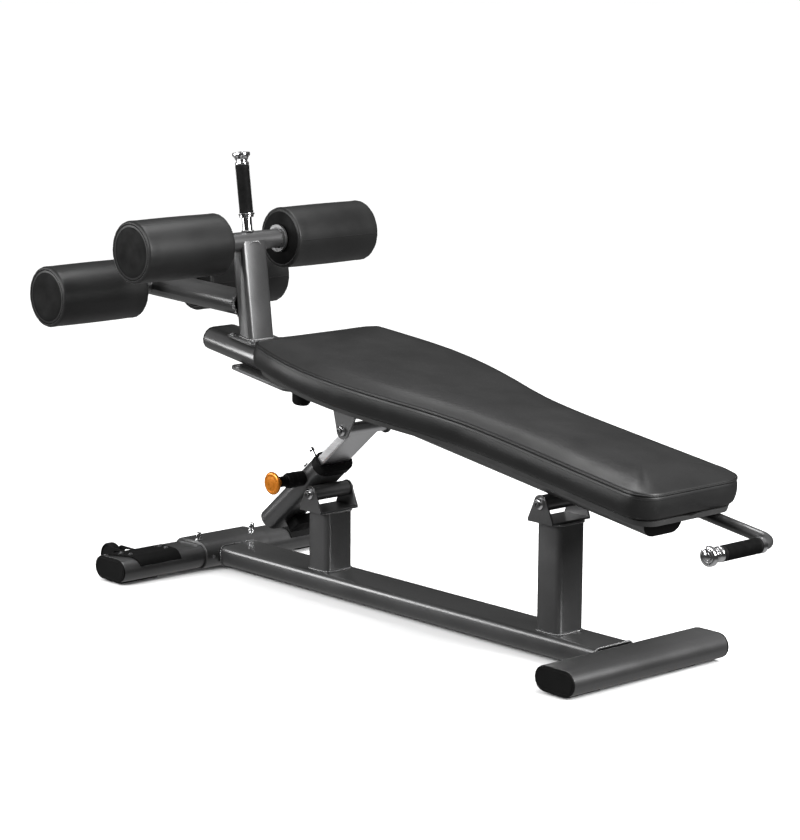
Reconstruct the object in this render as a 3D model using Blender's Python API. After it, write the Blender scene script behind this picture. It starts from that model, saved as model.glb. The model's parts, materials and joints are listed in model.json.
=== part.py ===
"""Decline sit-up bench: a floor frame, a tilting bench on a telescoping strut, and four ankle rollers.

Metres, +Z up. +X runs towards the low head end and +Y across the bench. The origin is on the
floor, under the middle of the bench's outline.
"""

import math

import bmesh
import bpy
from mathutils import Matrix, Vector

# Driving dimensions.
GAP = 0.0003
WALL = 0.003
BAR_WIDTH = 0.120
BAR_HEIGHT = 0.059
BAR_Z = 0.0355
BAR_CAP = 0.004

HEAD_BAR_X = 0.7270
HEAD_BAR_LENGTH = 0.504
FOOT_BAR_X = -0.7295
FOOT_BAR_LENGTH = 0.726
RAIL_WIDTH = 0.120
RAIL_HEIGHT = 0.050
RAIL_CORNER = 0.012
SLEEVE_WIDTH = 0.136
SLEEVE_HEIGHT = 0.0695
SLEEVE_HALF_LENGTH = 0.103
SLEEVE_LIFT = 0.0018

POST_X = 0.075
POST_Y = 0.086
POST_CORNER = 0.014
HEAD_POST_AT = 0.4941
STRUT_POST_AT = -0.3036
HEAD_PIVOT = Vector((0.4870, 0.0, 0.3630))
STRUT_FOOT_PIVOT = Vector((-0.3085, 0.0, 0.2556))
STRUT_TOP_PIVOT = Vector((-0.1790, 0.0, 0.4345))
STRUT_ANGLE = math.radians(40.4)

CLEVIS_HALF_WIDTH = 0.062
CLEVIS_BASE = 0.078
CLEVIS_PLATE = 0.005
CLEVIS_DROP = 0.0455
EAR_RADIUS = 0.0205
PIVOT_TUBE_RADIUS = 0.0190
PIN_RADIUS = 0.0060

BEAM_ANGLE = math.radians(8.3)
BEAM_ORIGIN = Vector((0.4770, 0.0, 0.4146))
BEAM_FOOT = -1.2208
BEAM_HEAD = 0.3335

PAD_FOOT = -0.871
PAD_HEAD = 0.415
PAD_HEAD_BULGE = 0.020
PAD_CORNER = 0.050
PAD_SEAM = 0.102
PAD_CROWN = 0.121
BOARD_THICK = 0.012
SEAT_PLATE_THICK = 0.007
# Half width of the pad at distances along the bench, from the foot end to the head end.
PAD_STATIONS = (
    (-0.871, 0.199),
    (-0.760, 0.228),
    (-0.620, 0.244),
    (-0.500, 0.236),
    (-0.380, 0.213),
    (-0.270, 0.185),
    (-0.160, 0.167),
    (-0.040, 0.162),
    (0.100, 0.164),
    (0.250, 0.168),
    (0.415, 0.171),
)

LEG_BASE = Vector((-0.5890, 0.0, 0.6030))
UPPER_AXLE = Vector((-0.6200, 0.0, 0.8470))
LOWER_AXLE = Vector((-0.9730, 0.0, 0.6990))
LEG_X = 0.050
LEG_Y = 0.078
ARM_WIDTH = 0.095
ARM_HEIGHT = 0.057
ROLLER_RADIUS = 0.078
ROLLER_INNER = 0.103
ROLLER_OUTER = 0.370
ROLLER_EDGE = 0.009
AXLE_RADIUS = 0.0150

HANDLE_RADIUS = 0.0125
GRIP_RADIUS = 0.0178
GRIP_LENGTH = 0.121
LOW_HANDLE_Y = 0.108
LOW_HANDLE_RADIUS = 0.0140
LOW_HANDLE_BEND = 0.034
LOW_HANDLE_N = 0.0105
LOW_HANDLE_START = 0.100
LOW_HANDLE_END = 0.5556
LOW_GRIP_FAR = 0.056

WHEEL_RADIUS = 0.035
WHEEL_WIDTH = 0.022
WHEEL_Y = 0.285
WHEEL_X = FOOT_BAR_X - 0.0970
WHEEL_Z = 0.040
COVER_THICK = 0.0045
COVER_REACH = 0.022
COVER_Y_INNER = 0.183
COVER_Y_OUTER = 0.340

# Telescoping strut, along the strut's own axis from its top pivot.
STRUT_BAR_WIDTH = 0.090
STRUT_BAR_THICK = 0.025
STRUT_BAR_LENGTH = 0.386
STRUT_MOUTH = 0.170
COLLAR_LENGTH = 0.022
SLEEVE_TUBE_END = 0.426
SLEEVE_TUBE_WIDTH = 0.112
SLEEVE_TUBE_THICK = 0.056
SLEEVE_TUBE_DROP = 0.0050
STRUT_EYE_RADIUS = 0.0160
STRUT_EYE_BORE = 0.0122
STRUT_EYE_HALF = 0.064
STRUT_EAR_HALF = 0.071
TOP_PIN_RADIUS = 0.0050
PULL_PIN_AT = 0.2218
PULL_PIN_RADIUS = 0.0055
PULL_PIN_DROP = 0.003

X_AXIS = Vector((1, 0, 0))
Y_AXIS = Vector((0, 1, 0))
Z_AXIS = Vector((0, 0, 1))
BEAM_ALONG = Vector((math.cos(BEAM_ANGLE), 0, -math.sin(BEAM_ANGLE)))
BEAM_UP = Vector((math.sin(BEAM_ANGLE), 0, math.cos(BEAM_ANGLE)))
STRUT_ALONG = Vector((math.cos(STRUT_ANGLE), 0, math.sin(STRUT_ANGLE)))
STRUT_UP = Vector((-math.sin(STRUT_ANGLE), 0, math.cos(STRUT_ANGLE)))
LEG_ALONG = (UPPER_AXLE - LEG_BASE).normalized()

# Colour, roughness and metallic value of each finish.
FINISHES = {
    "charcoal_paint": ((0.120, 0.120, 0.122), 0.38, 0.60),
    "black_plastic": ((0.012, 0.012, 0.013), 0.50, 0.0),
    "black_rubber": ((0.014, 0.014, 0.014), 0.85, 0.0),
    "black_vinyl": ((0.016, 0.016, 0.017), 0.42, 0.0),
    "chrome": ((0.78, 0.78, 0.80), 0.10, 1.0),
    "brushed_steel": ((0.55, 0.55, 0.56), 0.32, 1.0),
    "orange_anodised": ((0.80, 0.27, 0.03), 0.30, 0.6),
}


def clear_scene():
    for obj in list(bpy.data.objects):
        bpy.data.objects.remove(obj, do_unlink=True)


def finish_of(name, finish):
    """A material of the node's own, in one of the object's finishes."""
    colour, roughness, metallic = FINISHES[finish]
    material = bpy.data.materials.new(name + "_" + finish)
    material.use_nodes = True
    shader = material.node_tree.nodes["Principled BSDF"]
    shader.inputs["Base Color"].default_value = (*colour, 1.0)
    shader.inputs["Roughness"].default_value = roughness
    shader.inputs["Metallic"].default_value = metallic
    return material


def solid(name, points, faces, finish, origin=None):
    """One object from points and faces, with its origin on its joint's axis where it has one."""
    origin = origin or Vector((0, 0, 0))
    mesh = bpy.data.meshes.new(name)
    mesh.from_pydata([Vector(p) - origin for p in points], [], faces)
    work = bmesh.new()
    work.from_mesh(mesh)
    bmesh.ops.remove_doubles(work, verts=work.verts, dist=1e-6)
    bmesh.ops.recalc_face_normals(work, faces=work.faces)
    work.to_mesh(mesh)
    work.free()
    mesh.shade_smooth()
    mesh.set_sharp_from_angle(angle=math.radians(32))
    obj = bpy.data.objects.new(name, mesh)
    obj.location = origin
    bpy.context.scene.collection.objects.link(obj)
    if finish:
        mesh.materials.append(finish_of(name, finish))
    return obj


def stadium(width, height, steps=9):
    """A flat-oval outline, anticlockwise, as wide as width."""
    radius = height / 2
    reach = width / 2 - radius
    outline = []
    for side in (1, -1):
        for k in range(steps):
            turn = -math.pi / 2 + math.pi * k / (steps - 1)
            outline.append((side * (reach + radius * math.cos(turn)), side * radius * math.sin(turn)))
    return outline


def rounded(width, height, radius, steps=4):
    """A rectangle with round corners, anticlockwise."""
    outline = []
    for quarter, (sx, sy) in enumerate(((1, 1), (-1, 1), (-1, -1), (1, -1))):
        for k in range(steps):
            turn = math.pi / 2 * (quarter + k / (steps - 1))
            outline.append((
                sx * (width / 2 - radius) + radius * math.cos(turn),
                sy * (height / 2 - radius) + radius * math.sin(turn),
            ))
    return outline


def circle(radius, steps):
    return [
        (radius * math.cos(math.tau * k / steps), radius * math.sin(math.tau * k / steps))
        for k in range(steps)
    ]


def ring_at(outline, centre, side, along, plane):
    """The outline's points at a centre, slid along the axis onto a plane through it."""
    up = along.cross(side)
    points = []
    for u, v in outline:
        offset = side * u + up * v
        offset -= along * (offset.dot(plane) / along.dot(plane))
        points.append(centre + offset)
    return points


def prism(name, outer, start, end, side, finish, inner=None, start_plane=None, end_plane=None):
    """An outline drawn from start to end, hollow where it has an inner outline of as many points."""
    along = (end - start).normalized()
    start_plane = start_plane or along
    end_plane = end_plane or along
    count = len(outer)
    points = ring_at(outer, start, side, along, start_plane) + ring_at(outer, end, side, along, end_plane)
    faces = [(i, (i + 1) % count, (i + 1) % count + count, i + count) for i in range(count)]
    if inner is None:
        faces += [tuple(reversed(range(count))), tuple(range(count, 2 * count))]
        return solid(name, points, faces, finish)
    points += ring_at(inner, start, side, along, start_plane) + ring_at(inner, end, side, along, end_plane)
    for i in range(count):
        j = (i + 1) % count
        faces.append((i + 2 * count, i + 3 * count, j + 3 * count, j + 2 * count))
        faces.append((i, i + 2 * count, j + 2 * count, j))
        faces.append((i + count, j + count, j + 3 * count, i + 3 * count))
    return solid(name, points, faces, finish)


def turned(name, profile, base, axis, finish, steps=28, closed=False):
    """A profile of (radius, height) turned about an axis; closed means it runs round a bore."""
    side = axis.orthogonal().normalized()
    other = axis.cross(side)
    points = []
    rows = []
    for radius, height in profile:
        centre = base + axis * height
        if radius == 0:
            rows.append([len(points)] * steps)
            points.append(centre)
            continue
        rows.append(list(range(len(points), len(points) + steps)))
        for k in range(steps):
            turn = math.tau * k / steps
            points.append(centre + (side * math.cos(turn) + other * math.sin(turn)) * radius)
    faces = []
    pairs = list(zip(rows, rows[1:] + rows[:1])) if closed else list(zip(rows, rows[1:]))
    for low, high in pairs:
        for k in range(steps):
            j = (k + 1) % steps
            corners = (low[k], low[j], high[j], high[k])
            faces.append(tuple(dict.fromkeys(corners)))
    return solid(name, points, faces, finish, origin=base)


def swept(name, path, radius, plane_normal, finish, sides=14):
    """A round bar along a path of points that lies nearly in one plane."""
    points = []
    for k, point in enumerate(path):
        ahead = path[min(k + 1, len(path) - 1)] - path[max(k - 1, 0)]
        along = ahead.normalized()
        side = (plane_normal - along * plane_normal.dot(along)).normalized()
        points += ring_at(circle(radius, sides), point, side, along, along)
    faces = [tuple(reversed(range(sides)))]
    for k in range(len(path) - 1):
        for i in range(sides):
            j = (i + 1) % sides
            faces.append((k * sides + i, k * sides + j, (k + 1) * sides + j, (k + 1) * sides + i))
    last = (len(path) - 1) * sides
    faces.append(tuple(range(last, last + sides)))
    return solid(name, points, faces, finish)


def modify(obj, tool, operation):
    """Cuts with a hidden helper, or joins it on."""
    tool.hide_render = True
    tool.display_type = "WIRE"
    modifier = obj.modifiers.new(operation.lower() + "_" + tool.name, "BOOLEAN")
    modifier.operation = operation
    modifier.object = tool
    modifier.solver = "EXACT"


def beam_point(along, across, up):
    """A point in the bench's own frame: along the beam to the head end, across it, and square to it."""
    return BEAM_ORIGIN + BEAM_ALONG * along + Y_AXIS * across + BEAM_UP * up


def strut_point(down, across, up):
    """A point in the strut's own frame, measured down from its top pivot."""
    return STRUT_TOP_PIVOT - STRUT_ALONG * down + Y_AXIS * across + STRUT_UP * up


def shrink(width, height, amount):
    return width - 2 * amount, height - 2 * amount


def flat_oval_tube(name, start, end, side, width=BAR_WIDTH, height=BAR_HEIGHT, **planes):
    inner = stadium(*shrink(width, height, WALL))
    return prism(name, stadium(width, height), start, end, side, "charcoal_paint", inner, **planes)


def cross_bar(name, x, length):
    """A floor cross bar with a plastic cap at each end."""
    half = length / 2 - BAR_CAP - GAP
    flat_oval_tube(name, Vector((x, -half, BAR_Z)), Vector((x, half, BAR_Z)), X_AXIS)
    for side, sign in (("near", -1), ("far", 1)):
        prism(
            name + "_cap_" + side,
            stadium(BAR_WIDTH, BAR_HEIGHT),
            Vector((x, sign * (half + GAP), BAR_Z)),
            Vector((x, sign * length / 2, BAR_Z)),
            X_AXIS,
            "black_plastic",
        )


def floor_pad(name, x, y_from, y_to):
    top = BAR_Z - BAR_HEIGHT / 2 - GAP
    prism(
        name,
        rounded(0.052, y_to - y_from, 0.008),
        Vector((x, (y_from + y_to) / 2, 0)),
        Vector((x, (y_from + y_to) / 2, top)),
        X_AXIS,
        "black_rubber",
    )


def main_rail():
    half_bar = BAR_WIDTH / 2 + GAP
    prism(
        "main_rail",
        rounded(RAIL_WIDTH, RAIL_HEIGHT, RAIL_CORNER),
        Vector((FOOT_BAR_X + SLEEVE_WIDTH / 2 + GAP, 0, BAR_Z)),
        Vector((HEAD_BAR_X - half_bar, 0, BAR_Z)),
        Y_AXIS,
        "charcoal_paint",
        rounded(*shrink(RAIL_WIDTH, RAIL_HEIGHT, WALL), RAIL_CORNER - WALL),
    )


def foot_bar_saddle():
    """The sleeve that the foot cross bar is clamped in, with its two bolts."""
    bar_hole = stadium(BAR_WIDTH + 2 * GAP, BAR_HEIGHT + 2 * GAP, 13)
    prism(
        "foot_bar_saddle",
        stadium(SLEEVE_WIDTH, SLEEVE_HEIGHT, 13),
        Vector((FOOT_BAR_X, SLEEVE_HALF_LENGTH, BAR_Z + SLEEVE_LIFT)),
        Vector((FOOT_BAR_X, -SLEEVE_HALF_LENGTH, BAR_Z + SLEEVE_LIFT)),
        X_AXIS,
        "charcoal_paint",
        [(u, v - SLEEVE_LIFT) for u, v in bar_hole],
    )
    top = BAR_Z + SLEEVE_LIFT + SLEEVE_HEIGHT / 2 + GAP
    for side, y in (("near", -0.088), ("far", 0.088)):
        turned(
            "saddle_bolt_" + side,
            (
                (0, 0), (0.0105, 0), (0.0105, 0.0020), (0.0070, 0.0022), (0.0070, 0.0170), (0.0058, 0.0190),
                (0, 0.0190),
            ),
            Vector((FOOT_BAR_X + 0.012, y, top)),
            Z_AXIS,
            "chrome",
            20,
        )


def cover_outline():
    """A formed plate over the cross bar: flat towards the wheel, wrapped over the other shoulder."""
    radius = BAR_HEIGHT / 2
    reach = BAR_WIDTH / 2 - radius
    turns = [math.radians(90 - 9 * k) for k in range(9)]
    outside = radius + COVER_THICK
    inside = radius + GAP
    outer = [(reach + outside * math.cos(t), outside * math.sin(t)) for t in turns]
    inner = [(reach + inside * math.cos(t), inside * math.sin(t)) for t in reversed(turns)]
    return [(-COVER_REACH, outside)] + outer + inner + [(-COVER_REACH, inside)]


def wheel_set(side, sign):
    """The cover over the cross bar's end, with two ears that hold an axle and a transport wheel."""
    slant = Vector((-0.5, -sign, 0)).normalized()
    y_ends = sorted((sign * COVER_Y_INNER, sign * COVER_Y_OUTER), reverse=True)
    planes = {"end_plane": slant} if sign < 0 else {"start_plane": slant}
    cover = prism(
        "wheel_bracket_" + side,
        cover_outline(),
        Vector((FOOT_BAR_X, y_ends[0], BAR_Z)),
        Vector((FOOT_BAR_X, y_ends[1], BAR_Z)),
        X_AXIS,
        "black_plastic",
        **planes,
    )
    plate_top = BAR_Z + BAR_HEIGHT / 2 + COVER_THICK - WHEEL_Z
    ear_outline = (
        (-0.013, -0.008), (0.006, -0.013), (0.014, -0.004), (0.037, 0.0225), (0.060, plate_top - 0.0038),
        (0.085, plate_top - 0.0038), (0.085, plate_top), (0.020, plate_top), (-0.013, 0.008),
    )
    for k, offset in enumerate((-1, 1)):
        y_ear = sign * WHEEL_Y + offset * (WHEEL_WIDTH / 2 + 0.0045)
        ear = prism(
            "wheel_ear_{}_{}".format(side, k),
            ear_outline,
            Vector((WHEEL_X, y_ear + 0.0025, WHEEL_Z)),
            Vector((WHEEL_X, y_ear - 0.0025, WHEEL_Z)),
            X_AXIS,
            None,
        )
        modify(cover, ear, "UNION")
    half = WHEEL_WIDTH / 2 + 0.0145
    bore = turned("axle_bore_" + side, ((0, -half), (0.0043, -half), (0.0043, half), (0, half)),
                  Vector((WHEEL_X, sign * WHEEL_Y, WHEEL_Z)), Y_AXIS, None, 16)
    modify(cover, bore, "DIFFERENCE")
    pin_with_heads("wheel_axle_" + side, Vector((WHEEL_X, sign * WHEEL_Y, WHEEL_Z)), 0.0040,
                   WHEEL_WIDTH / 2 + 0.0073, 0.0075, 0.0035, "brushed_steel", 16)
    rim = WHEEL_RADIUS
    w = WHEEL_WIDTH / 2
    turned(
        "transport_wheel_" + side,
        ((0.0043, -w), (0.012, -w), (0.014, -w + 0.003), (rim - 0.007, -w + 0.003), (rim - 0.005, -w),
         (rim - 0.002, -w + 0.001), (rim, -w + 0.004), (rim, w - 0.004), (rim - 0.002, w - 0.001),
         (rim - 0.005, w), (rim - 0.007, w - 0.003), (0.014, w - 0.003), (0.012, w), (0.0043, w)),
        Vector((WHEEL_X, sign * WHEEL_Y, WHEEL_Z)),
        Y_AXIS,
        "black_rubber",
        32,
        closed=True,
    )


def pin_with_heads(name, centre, radius, half, head_radius, head, finish="chrome", steps=20):
    """A bolt through both ears of a clevis, with a head and a nut outside them."""
    return turned(
        name,
        ((0, -half - head), (head_radius * 0.72, -half - head), (head_radius, -half - head * 0.55),
         (head_radius, -half), (radius, -half), (radius, half), (head_radius, half),
         (head_radius, half + head * 0.55), (head_radius * 0.72, half + head), (0, half + head)),
        centre,
        Y_AXIS,
        finish,
        steps,
    )


def clevis(name, pivot, bore, half_width, base, drop, ear_radius, up, along):
    """A bent bracket: a flat base and two ears that narrow to a round end about the pivot."""
    foot = pivot - up * drop
    across = up.cross(along)
    outline = [(-base / 2, 0), (base / 2, 0), (base / 2, CLEVIS_PLATE * 1.4)]
    for k in range(11):
        turn = math.radians(8 + 164 * k / 10)
        outline.append((ear_radius * math.cos(turn), drop + ear_radius * math.sin(turn)))
    outline.append((-base / 2, CLEVIS_PLATE * 1.4))
    near = foot + across * half_width
    far = foot - across * half_width
    body = prism(name, outline, near, far, along, "charcoal_paint")
    inside = across * (half_width - CLEVIS_PLATE)
    room = ((-base, CLEVIS_PLATE), (base, CLEVIS_PLATE), (base, 4 * drop), (-base, 4 * drop))
    modify(body, prism(name + "_room", room, foot + inside, foot - inside, along, None), "DIFFERENCE")
    reach = half_width + 0.010
    hole = ((0, -reach), (bore, -reach), (bore, reach), (0, reach))
    modify(body, turned(name + "_hole", hole, pivot, Y_AXIS, None, 20), "DIFFERENCE")


def post_with_clevis(side, x, pivot):
    """A post on the rail, its bracket on top and the bolt through the bracket."""
    rail_top = BAR_Z + RAIL_HEIGHT / 2 + GAP
    base_z = pivot.z - CLEVIS_DROP
    prism(
        side + "_post",
        rounded(POST_X, POST_Y, POST_CORNER, 5),
        Vector((x, 0, rail_top)),
        Vector((x, 0, base_z - GAP)),
        X_AXIS,
        "charcoal_paint",
        rounded(*shrink(POST_X, POST_Y, WALL), POST_CORNER - WALL, 5),
    )
    clevis(side + "_post_clevis", pivot, PIN_RADIUS + GAP, CLEVIS_HALF_WIDTH, CLEVIS_BASE, CLEVIS_DROP,
           EAR_RADIUS, Z_AXIS, X_AXIS)
    pin_with_heads(side + "_pivot_bolt", pivot, PIN_RADIUS, CLEVIS_HALF_WIDTH + GAP, 0.0135, 0.0075)


def pivot_tube(name, pivot, radius, half, bore):
    return turned(name, ((bore, -half), (radius - 0.001, -half), (radius, -half + 0.001),
                         (radius, half - 0.001), (radius - 0.001, half), (bore, half)),
                  pivot, Y_AXIS, "charcoal_paint", 28, closed=True)


def bench_beam():
    """The flat-oval spine under the pad, its two end caps, and the pivot tube under it."""
    start = beam_point(BEAM_FOOT + BAR_CAP + GAP, 0, 0)
    end = beam_point(BEAM_HEAD - BAR_CAP - GAP, 0, 0)
    flat_oval_tube("bench_beam", start, end, Y_AXIS)
    for side, a, b in (("foot", BEAM_FOOT, BEAM_FOOT + BAR_CAP), ("head", BEAM_HEAD - BAR_CAP, BEAM_HEAD)):
        prism("beam_cap_" + side, stadium(BAR_WIDTH, BAR_HEIGHT), beam_point(a, 0, 0), beam_point(b, 0, 0),
              Y_AXIS, "black_plastic")
    pivot_tube("bench_pivot_tube", HEAD_PIVOT, PIVOT_TUBE_RADIUS, CLEVIS_HALF_WIDTH - CLEVIS_PLATE - 0.001,
               PIN_RADIUS + GAP)


def under_beam():
    """What hangs under the beam: the seat plate, the rubber stop and the strut's bracket."""
    low = -BAR_HEIGHT / 2 - GAP
    plate_low = low - SEAT_PLATE_THICK
    prism("seat_plate", rounded(0.230, 0.164, 0.022, 6), beam_point(-0.970, 0, plate_low),
          beam_point(-0.970, 0, low), BEAM_ALONG, "charcoal_paint")
    stop = ((0, 0), (0.026, 0), (0.026, 0.012), (0.023, 0.042), (0.019, 0.048), (0, 0.048))
    turned("beam_stop", stop, beam_point(-0.890, 0, plate_low - GAP), -BEAM_UP, "black_rubber", 24)
    drop = (BEAM_ORIGIN - STRUT_TOP_PIVOT).dot(BEAM_UP) + low
    clevis("strut_top_clevis", STRUT_TOP_PIVOT, TOP_PIN_RADIUS + GAP, STRUT_EAR_HALF, CLEVIS_BASE, drop,
           0.022, -BEAM_UP, BEAM_ALONG)
    pin_with_heads("strut_top_bolt", STRUT_TOP_PIVOT, TOP_PIN_RADIUS, STRUT_EAR_HALF + GAP, 0.0135, 0.0075)


def half_width_at(along):
    """The pad's half width, on a smooth curve through its stations."""
    for k in range(len(PAD_STATIONS) - 1):
        (s0, w0), (s1, w1) = PAD_STATIONS[k], PAD_STATIONS[k + 1]
        if along <= s1:
            break
    before = PAD_STATIONS[max(k - 1, 0)]
    after = PAD_STATIONS[min(k + 2, len(PAD_STATIONS) - 1)]
    slope0 = (w1 - before[1]) / (s1 - before[0])
    slope1 = (after[1] - w0) / (after[0] - s0)
    t = (along - s0) / (s1 - s0)
    span = s1 - s0
    return (
        w0 * (2 * t**3 - 3 * t**2 + 1)
        + slope0 * span * (t**3 - 2 * t**2 + t)
        + w1 * (3 * t**2 - 2 * t**3)
        + slope1 * span * (t**3 - t**2)
    )


def pad_outline(inset, steps=18, arc=5):
    """The pad's outline in plan, drawn in by an inset, as (along, across) anticlockwise."""
    foot = PAD_FOOT + inset
    head = PAD_HEAD - inset / 2
    corner = PAD_CORNER - inset / 2
    side = []
    for k in range(arc):
        turn = math.pi - math.pi / 2 * k / arc
        width = half_width_at(PAD_FOOT + PAD_CORNER) - inset
        side.append((foot + corner + corner * math.cos(turn), -(width - corner) - corner * math.sin(turn)))
    for k in range(steps + 1):
        along = foot + corner + (head - corner - foot - corner) * k / steps
        side.append((along, inset - half_width_at(along)))
    for k in range(1, arc + 1):
        turn = math.pi / 2 * (1 - k / arc)
        width = half_width_at(PAD_HEAD - PAD_CORNER) - inset
        side.append((head - corner + corner * math.cos(turn), -(width - corner) - corner * math.sin(turn)))
    bulged = []
    for along, across in side:
        room = max(0.0, (along - (PAD_HEAD - PAD_CORNER)) / PAD_CORNER)
        bulged.append((along + PAD_HEAD_BULGE * room * (0.65 - (across / 0.15) ** 2), across))
    return bulged + [(along, -across) for along, across in reversed(bulged)]


def stacked(name, levels, finish):
    """A closed form through the pad's outline at several heights, given as (inset, height)."""
    points = []
    for inset, height in levels:
        points += [beam_point(along, across, height) for along, across in pad_outline(inset)]
    count = len(points) // len(levels)
    faces = [tuple(range(count)), tuple(range((len(levels) - 1) * count, len(levels) * count))]
    for row in range(len(levels) - 1):
        for i in range(count):
            j = (i + 1) % count
            faces.append((row * count + i, row * count + j, (row + 1) * count + j, (row + 1) * count + i))
    return solid(name, points, faces, finish)


def bench_pad():
    board_low = BAR_HEIGHT / 2 + GAP
    board_high = board_low + BOARD_THICK
    stacked("pad_board", ((0.020, board_low), (0.017, board_high)), "black_plastic")
    stacked(
        "bench_pad",
        ((0.015, board_high + GAP), (0.004, board_high + 0.009), (0.0, board_high + 0.022), (0.0, PAD_SEAM),
         (0.006, PAD_SEAM + 0.007), (0.020, PAD_SEAM + 0.014), (0.045, PAD_CROWN)),
        "black_vinyl",
    )


def leg_post():
    """The leaning post at the foot end, on its base plate and notched round the upper cross tube."""
    top_of_beam = BAR_HEIGHT / 2 + GAP
    base_along = (LEG_BASE - BEAM_ORIGIN).dot(BEAM_ALONG)
    prism("leg_base_plate", rounded(0.108, 0.112, 0.010), beam_point(base_along, 0, top_of_beam),
          beam_point(base_along, 0, top_of_beam + 0.006), BEAM_ALONG, "charcoal_paint")
    foot = beam_point(base_along, 0, top_of_beam + 0.006 + GAP)
    along = (UPPER_AXLE - foot).normalized()
    side = Y_AXIS.cross(along)
    post = prism("leg_post", rounded(LEG_X, LEG_Y, 0.010), foot, UPPER_AXLE, side, "charcoal_paint",
                 rounded(*shrink(LEG_X, LEG_Y, WALL), 0.007), start_plane=BEAM_UP)
    notch = turned("leg_notch", ((0, -0.1), (0.0240 + GAP, -0.1), (0.0240 + GAP, 0.1), (0, 0.1)),
                   UPPER_AXLE, Y_AXIS, None, 32)
    modify(post, notch, "DIFFERENCE")


def axle(name, centre, middle_radius, flange_radius, flange_at):
    """A cross tube with a flange by each roller and a thinner axle inside them."""
    end = ROLLER_OUTER - 0.014
    half = ((middle_radius, flange_at), (flange_radius, flange_at), (flange_radius, flange_at + 0.007),
            (AXLE_RADIUS, flange_at + 0.007), (AXLE_RADIUS, end))
    profile = [(0, -end)] + [(r, -h) for r, h in reversed(half)] + list(half) + [(0, end)]
    turned(name, profile, centre, Y_AXIS, "charcoal_paint", 28)


def roller(name, centre, sign):
    """A foam roller with round edges and a blind bore for its axle."""
    inner, outer, edge = ROLLER_INNER, ROLLER_OUTER, ROLLER_EDGE
    profile = [(AXLE_RADIUS + 0.0006, inner)]
    for k in range(4):
        turn = math.pi / 2 * k / 3
        profile.append((ROLLER_RADIUS - edge + edge * math.sin(turn), inner + edge - edge * math.cos(turn)))
    for k in range(4):
        turn = math.pi / 2 * k / 3
        profile.append((ROLLER_RADIUS - edge + edge * math.cos(turn), outer - edge + edge * math.sin(turn)))
    profile += [(0, outer), (0, outer - 0.012), (AXLE_RADIUS + 0.0006, outer - 0.012)]
    rows = [(r, sign * h) for r, h in profile]
    turned(name, rows, centre, Y_AXIS, "black_vinyl", 36, closed=True)


def rollers_and_arm():
    axle("upper_cross_tube", UPPER_AXLE, 0.0240, 0.0350, 0.092)
    axle("lower_cross_tube", LOWER_AXLE, 0.0160, 0.0220, 0.088)
    for level, centre in (("upper", UPPER_AXLE), ("lower", LOWER_AXLE)):
        for side, sign in (("near", -1), ("far", 1)):
            roller("{}_roller_{}".format(level, side), centre, sign)
    along = Vector((math.cos(math.radians(2)), 0, -math.sin(math.radians(2))))
    start = LOWER_AXLE - along * 0.020
    face = LEG_ALONG.cross(Y_AXIS)
    post_axis = LEG_BASE + LEG_ALONG * (LOWER_AXLE.z - 0.012 - LEG_BASE.z)
    reach = (post_axis - start).dot(face) + LEG_X / 2 + GAP
    end = start + along * (reach / along.dot(face))
    arm = prism("foot_arm", stadium(ARM_WIDTH, ARM_HEIGHT, 8), start, end, Y_AXIS, "charcoal_paint",
                stadium(*shrink(ARM_WIDTH, ARM_HEIGHT, WALL), 8), end_plane=face)
    bore = turned("arm_bore", ((0, -0.08), (0.0160 + GAP, -0.08), (0.0160 + GAP, 0.08), (0, 0.08)),
                  LOWER_AXLE, Y_AXIS, None, 28)
    modify(arm, bore, "DIFFERENCE")


def grip_and_cap(name, start, along, stretch):
    """A rubber grip sleeve over a handle's tube, and the turned chrome cap on its end."""
    turned(name + "_grip", ((HANDLE_RADIUS + GAP, 0), (GRIP_RADIUS - 0.001, 0), (GRIP_RADIUS, 0.001),
                            (GRIP_RADIUS, GRIP_LENGTH - 0.001), (GRIP_RADIUS - 0.001, GRIP_LENGTH),
                            (HANDLE_RADIUS + GAP, GRIP_LENGTH)),
           start, along, "black_rubber", 28, closed=True)
    cap = ((0, 0), (0.0165, 0), (0.0170, 0.006), (0.0150, 0.008), (0.0150, 0.012), (0.0175, 0.016),
           (0.0225, 0.024), (0.0225, 0.028), (0.0210, 0.032), (0.0120, 0.034), (0, 0.034))
    turned(name + "_cap", [(radius, height * stretch) for radius, height in cap],
           start + along * (GRIP_LENGTH + GAP), along, "chrome", 28)


def upper_handle():
    foot = UPPER_AXLE + LEG_ALONG * (0.0240 + GAP)
    grip_start = UPPER_AXLE + LEG_ALONG * 0.070
    tip = grip_start + LEG_ALONG * GRIP_LENGTH
    shoulder = (grip_start - foot).length - GAP
    reach = (tip - foot).length
    stem = ((0, 0), (HANDLE_RADIUS, 0), (HANDLE_RADIUS, 0.034), (0.0182, 0.036), (0.0182, shoulder),
            (HANDLE_RADIUS, shoulder), (HANDLE_RADIUS, reach), (0, reach))
    turned("upper_handle_tube", stem, foot, LEG_ALONG, "chrome", 28)
    grip_and_cap("upper_handle", grip_start, LEG_ALONG, 1.0)


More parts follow.
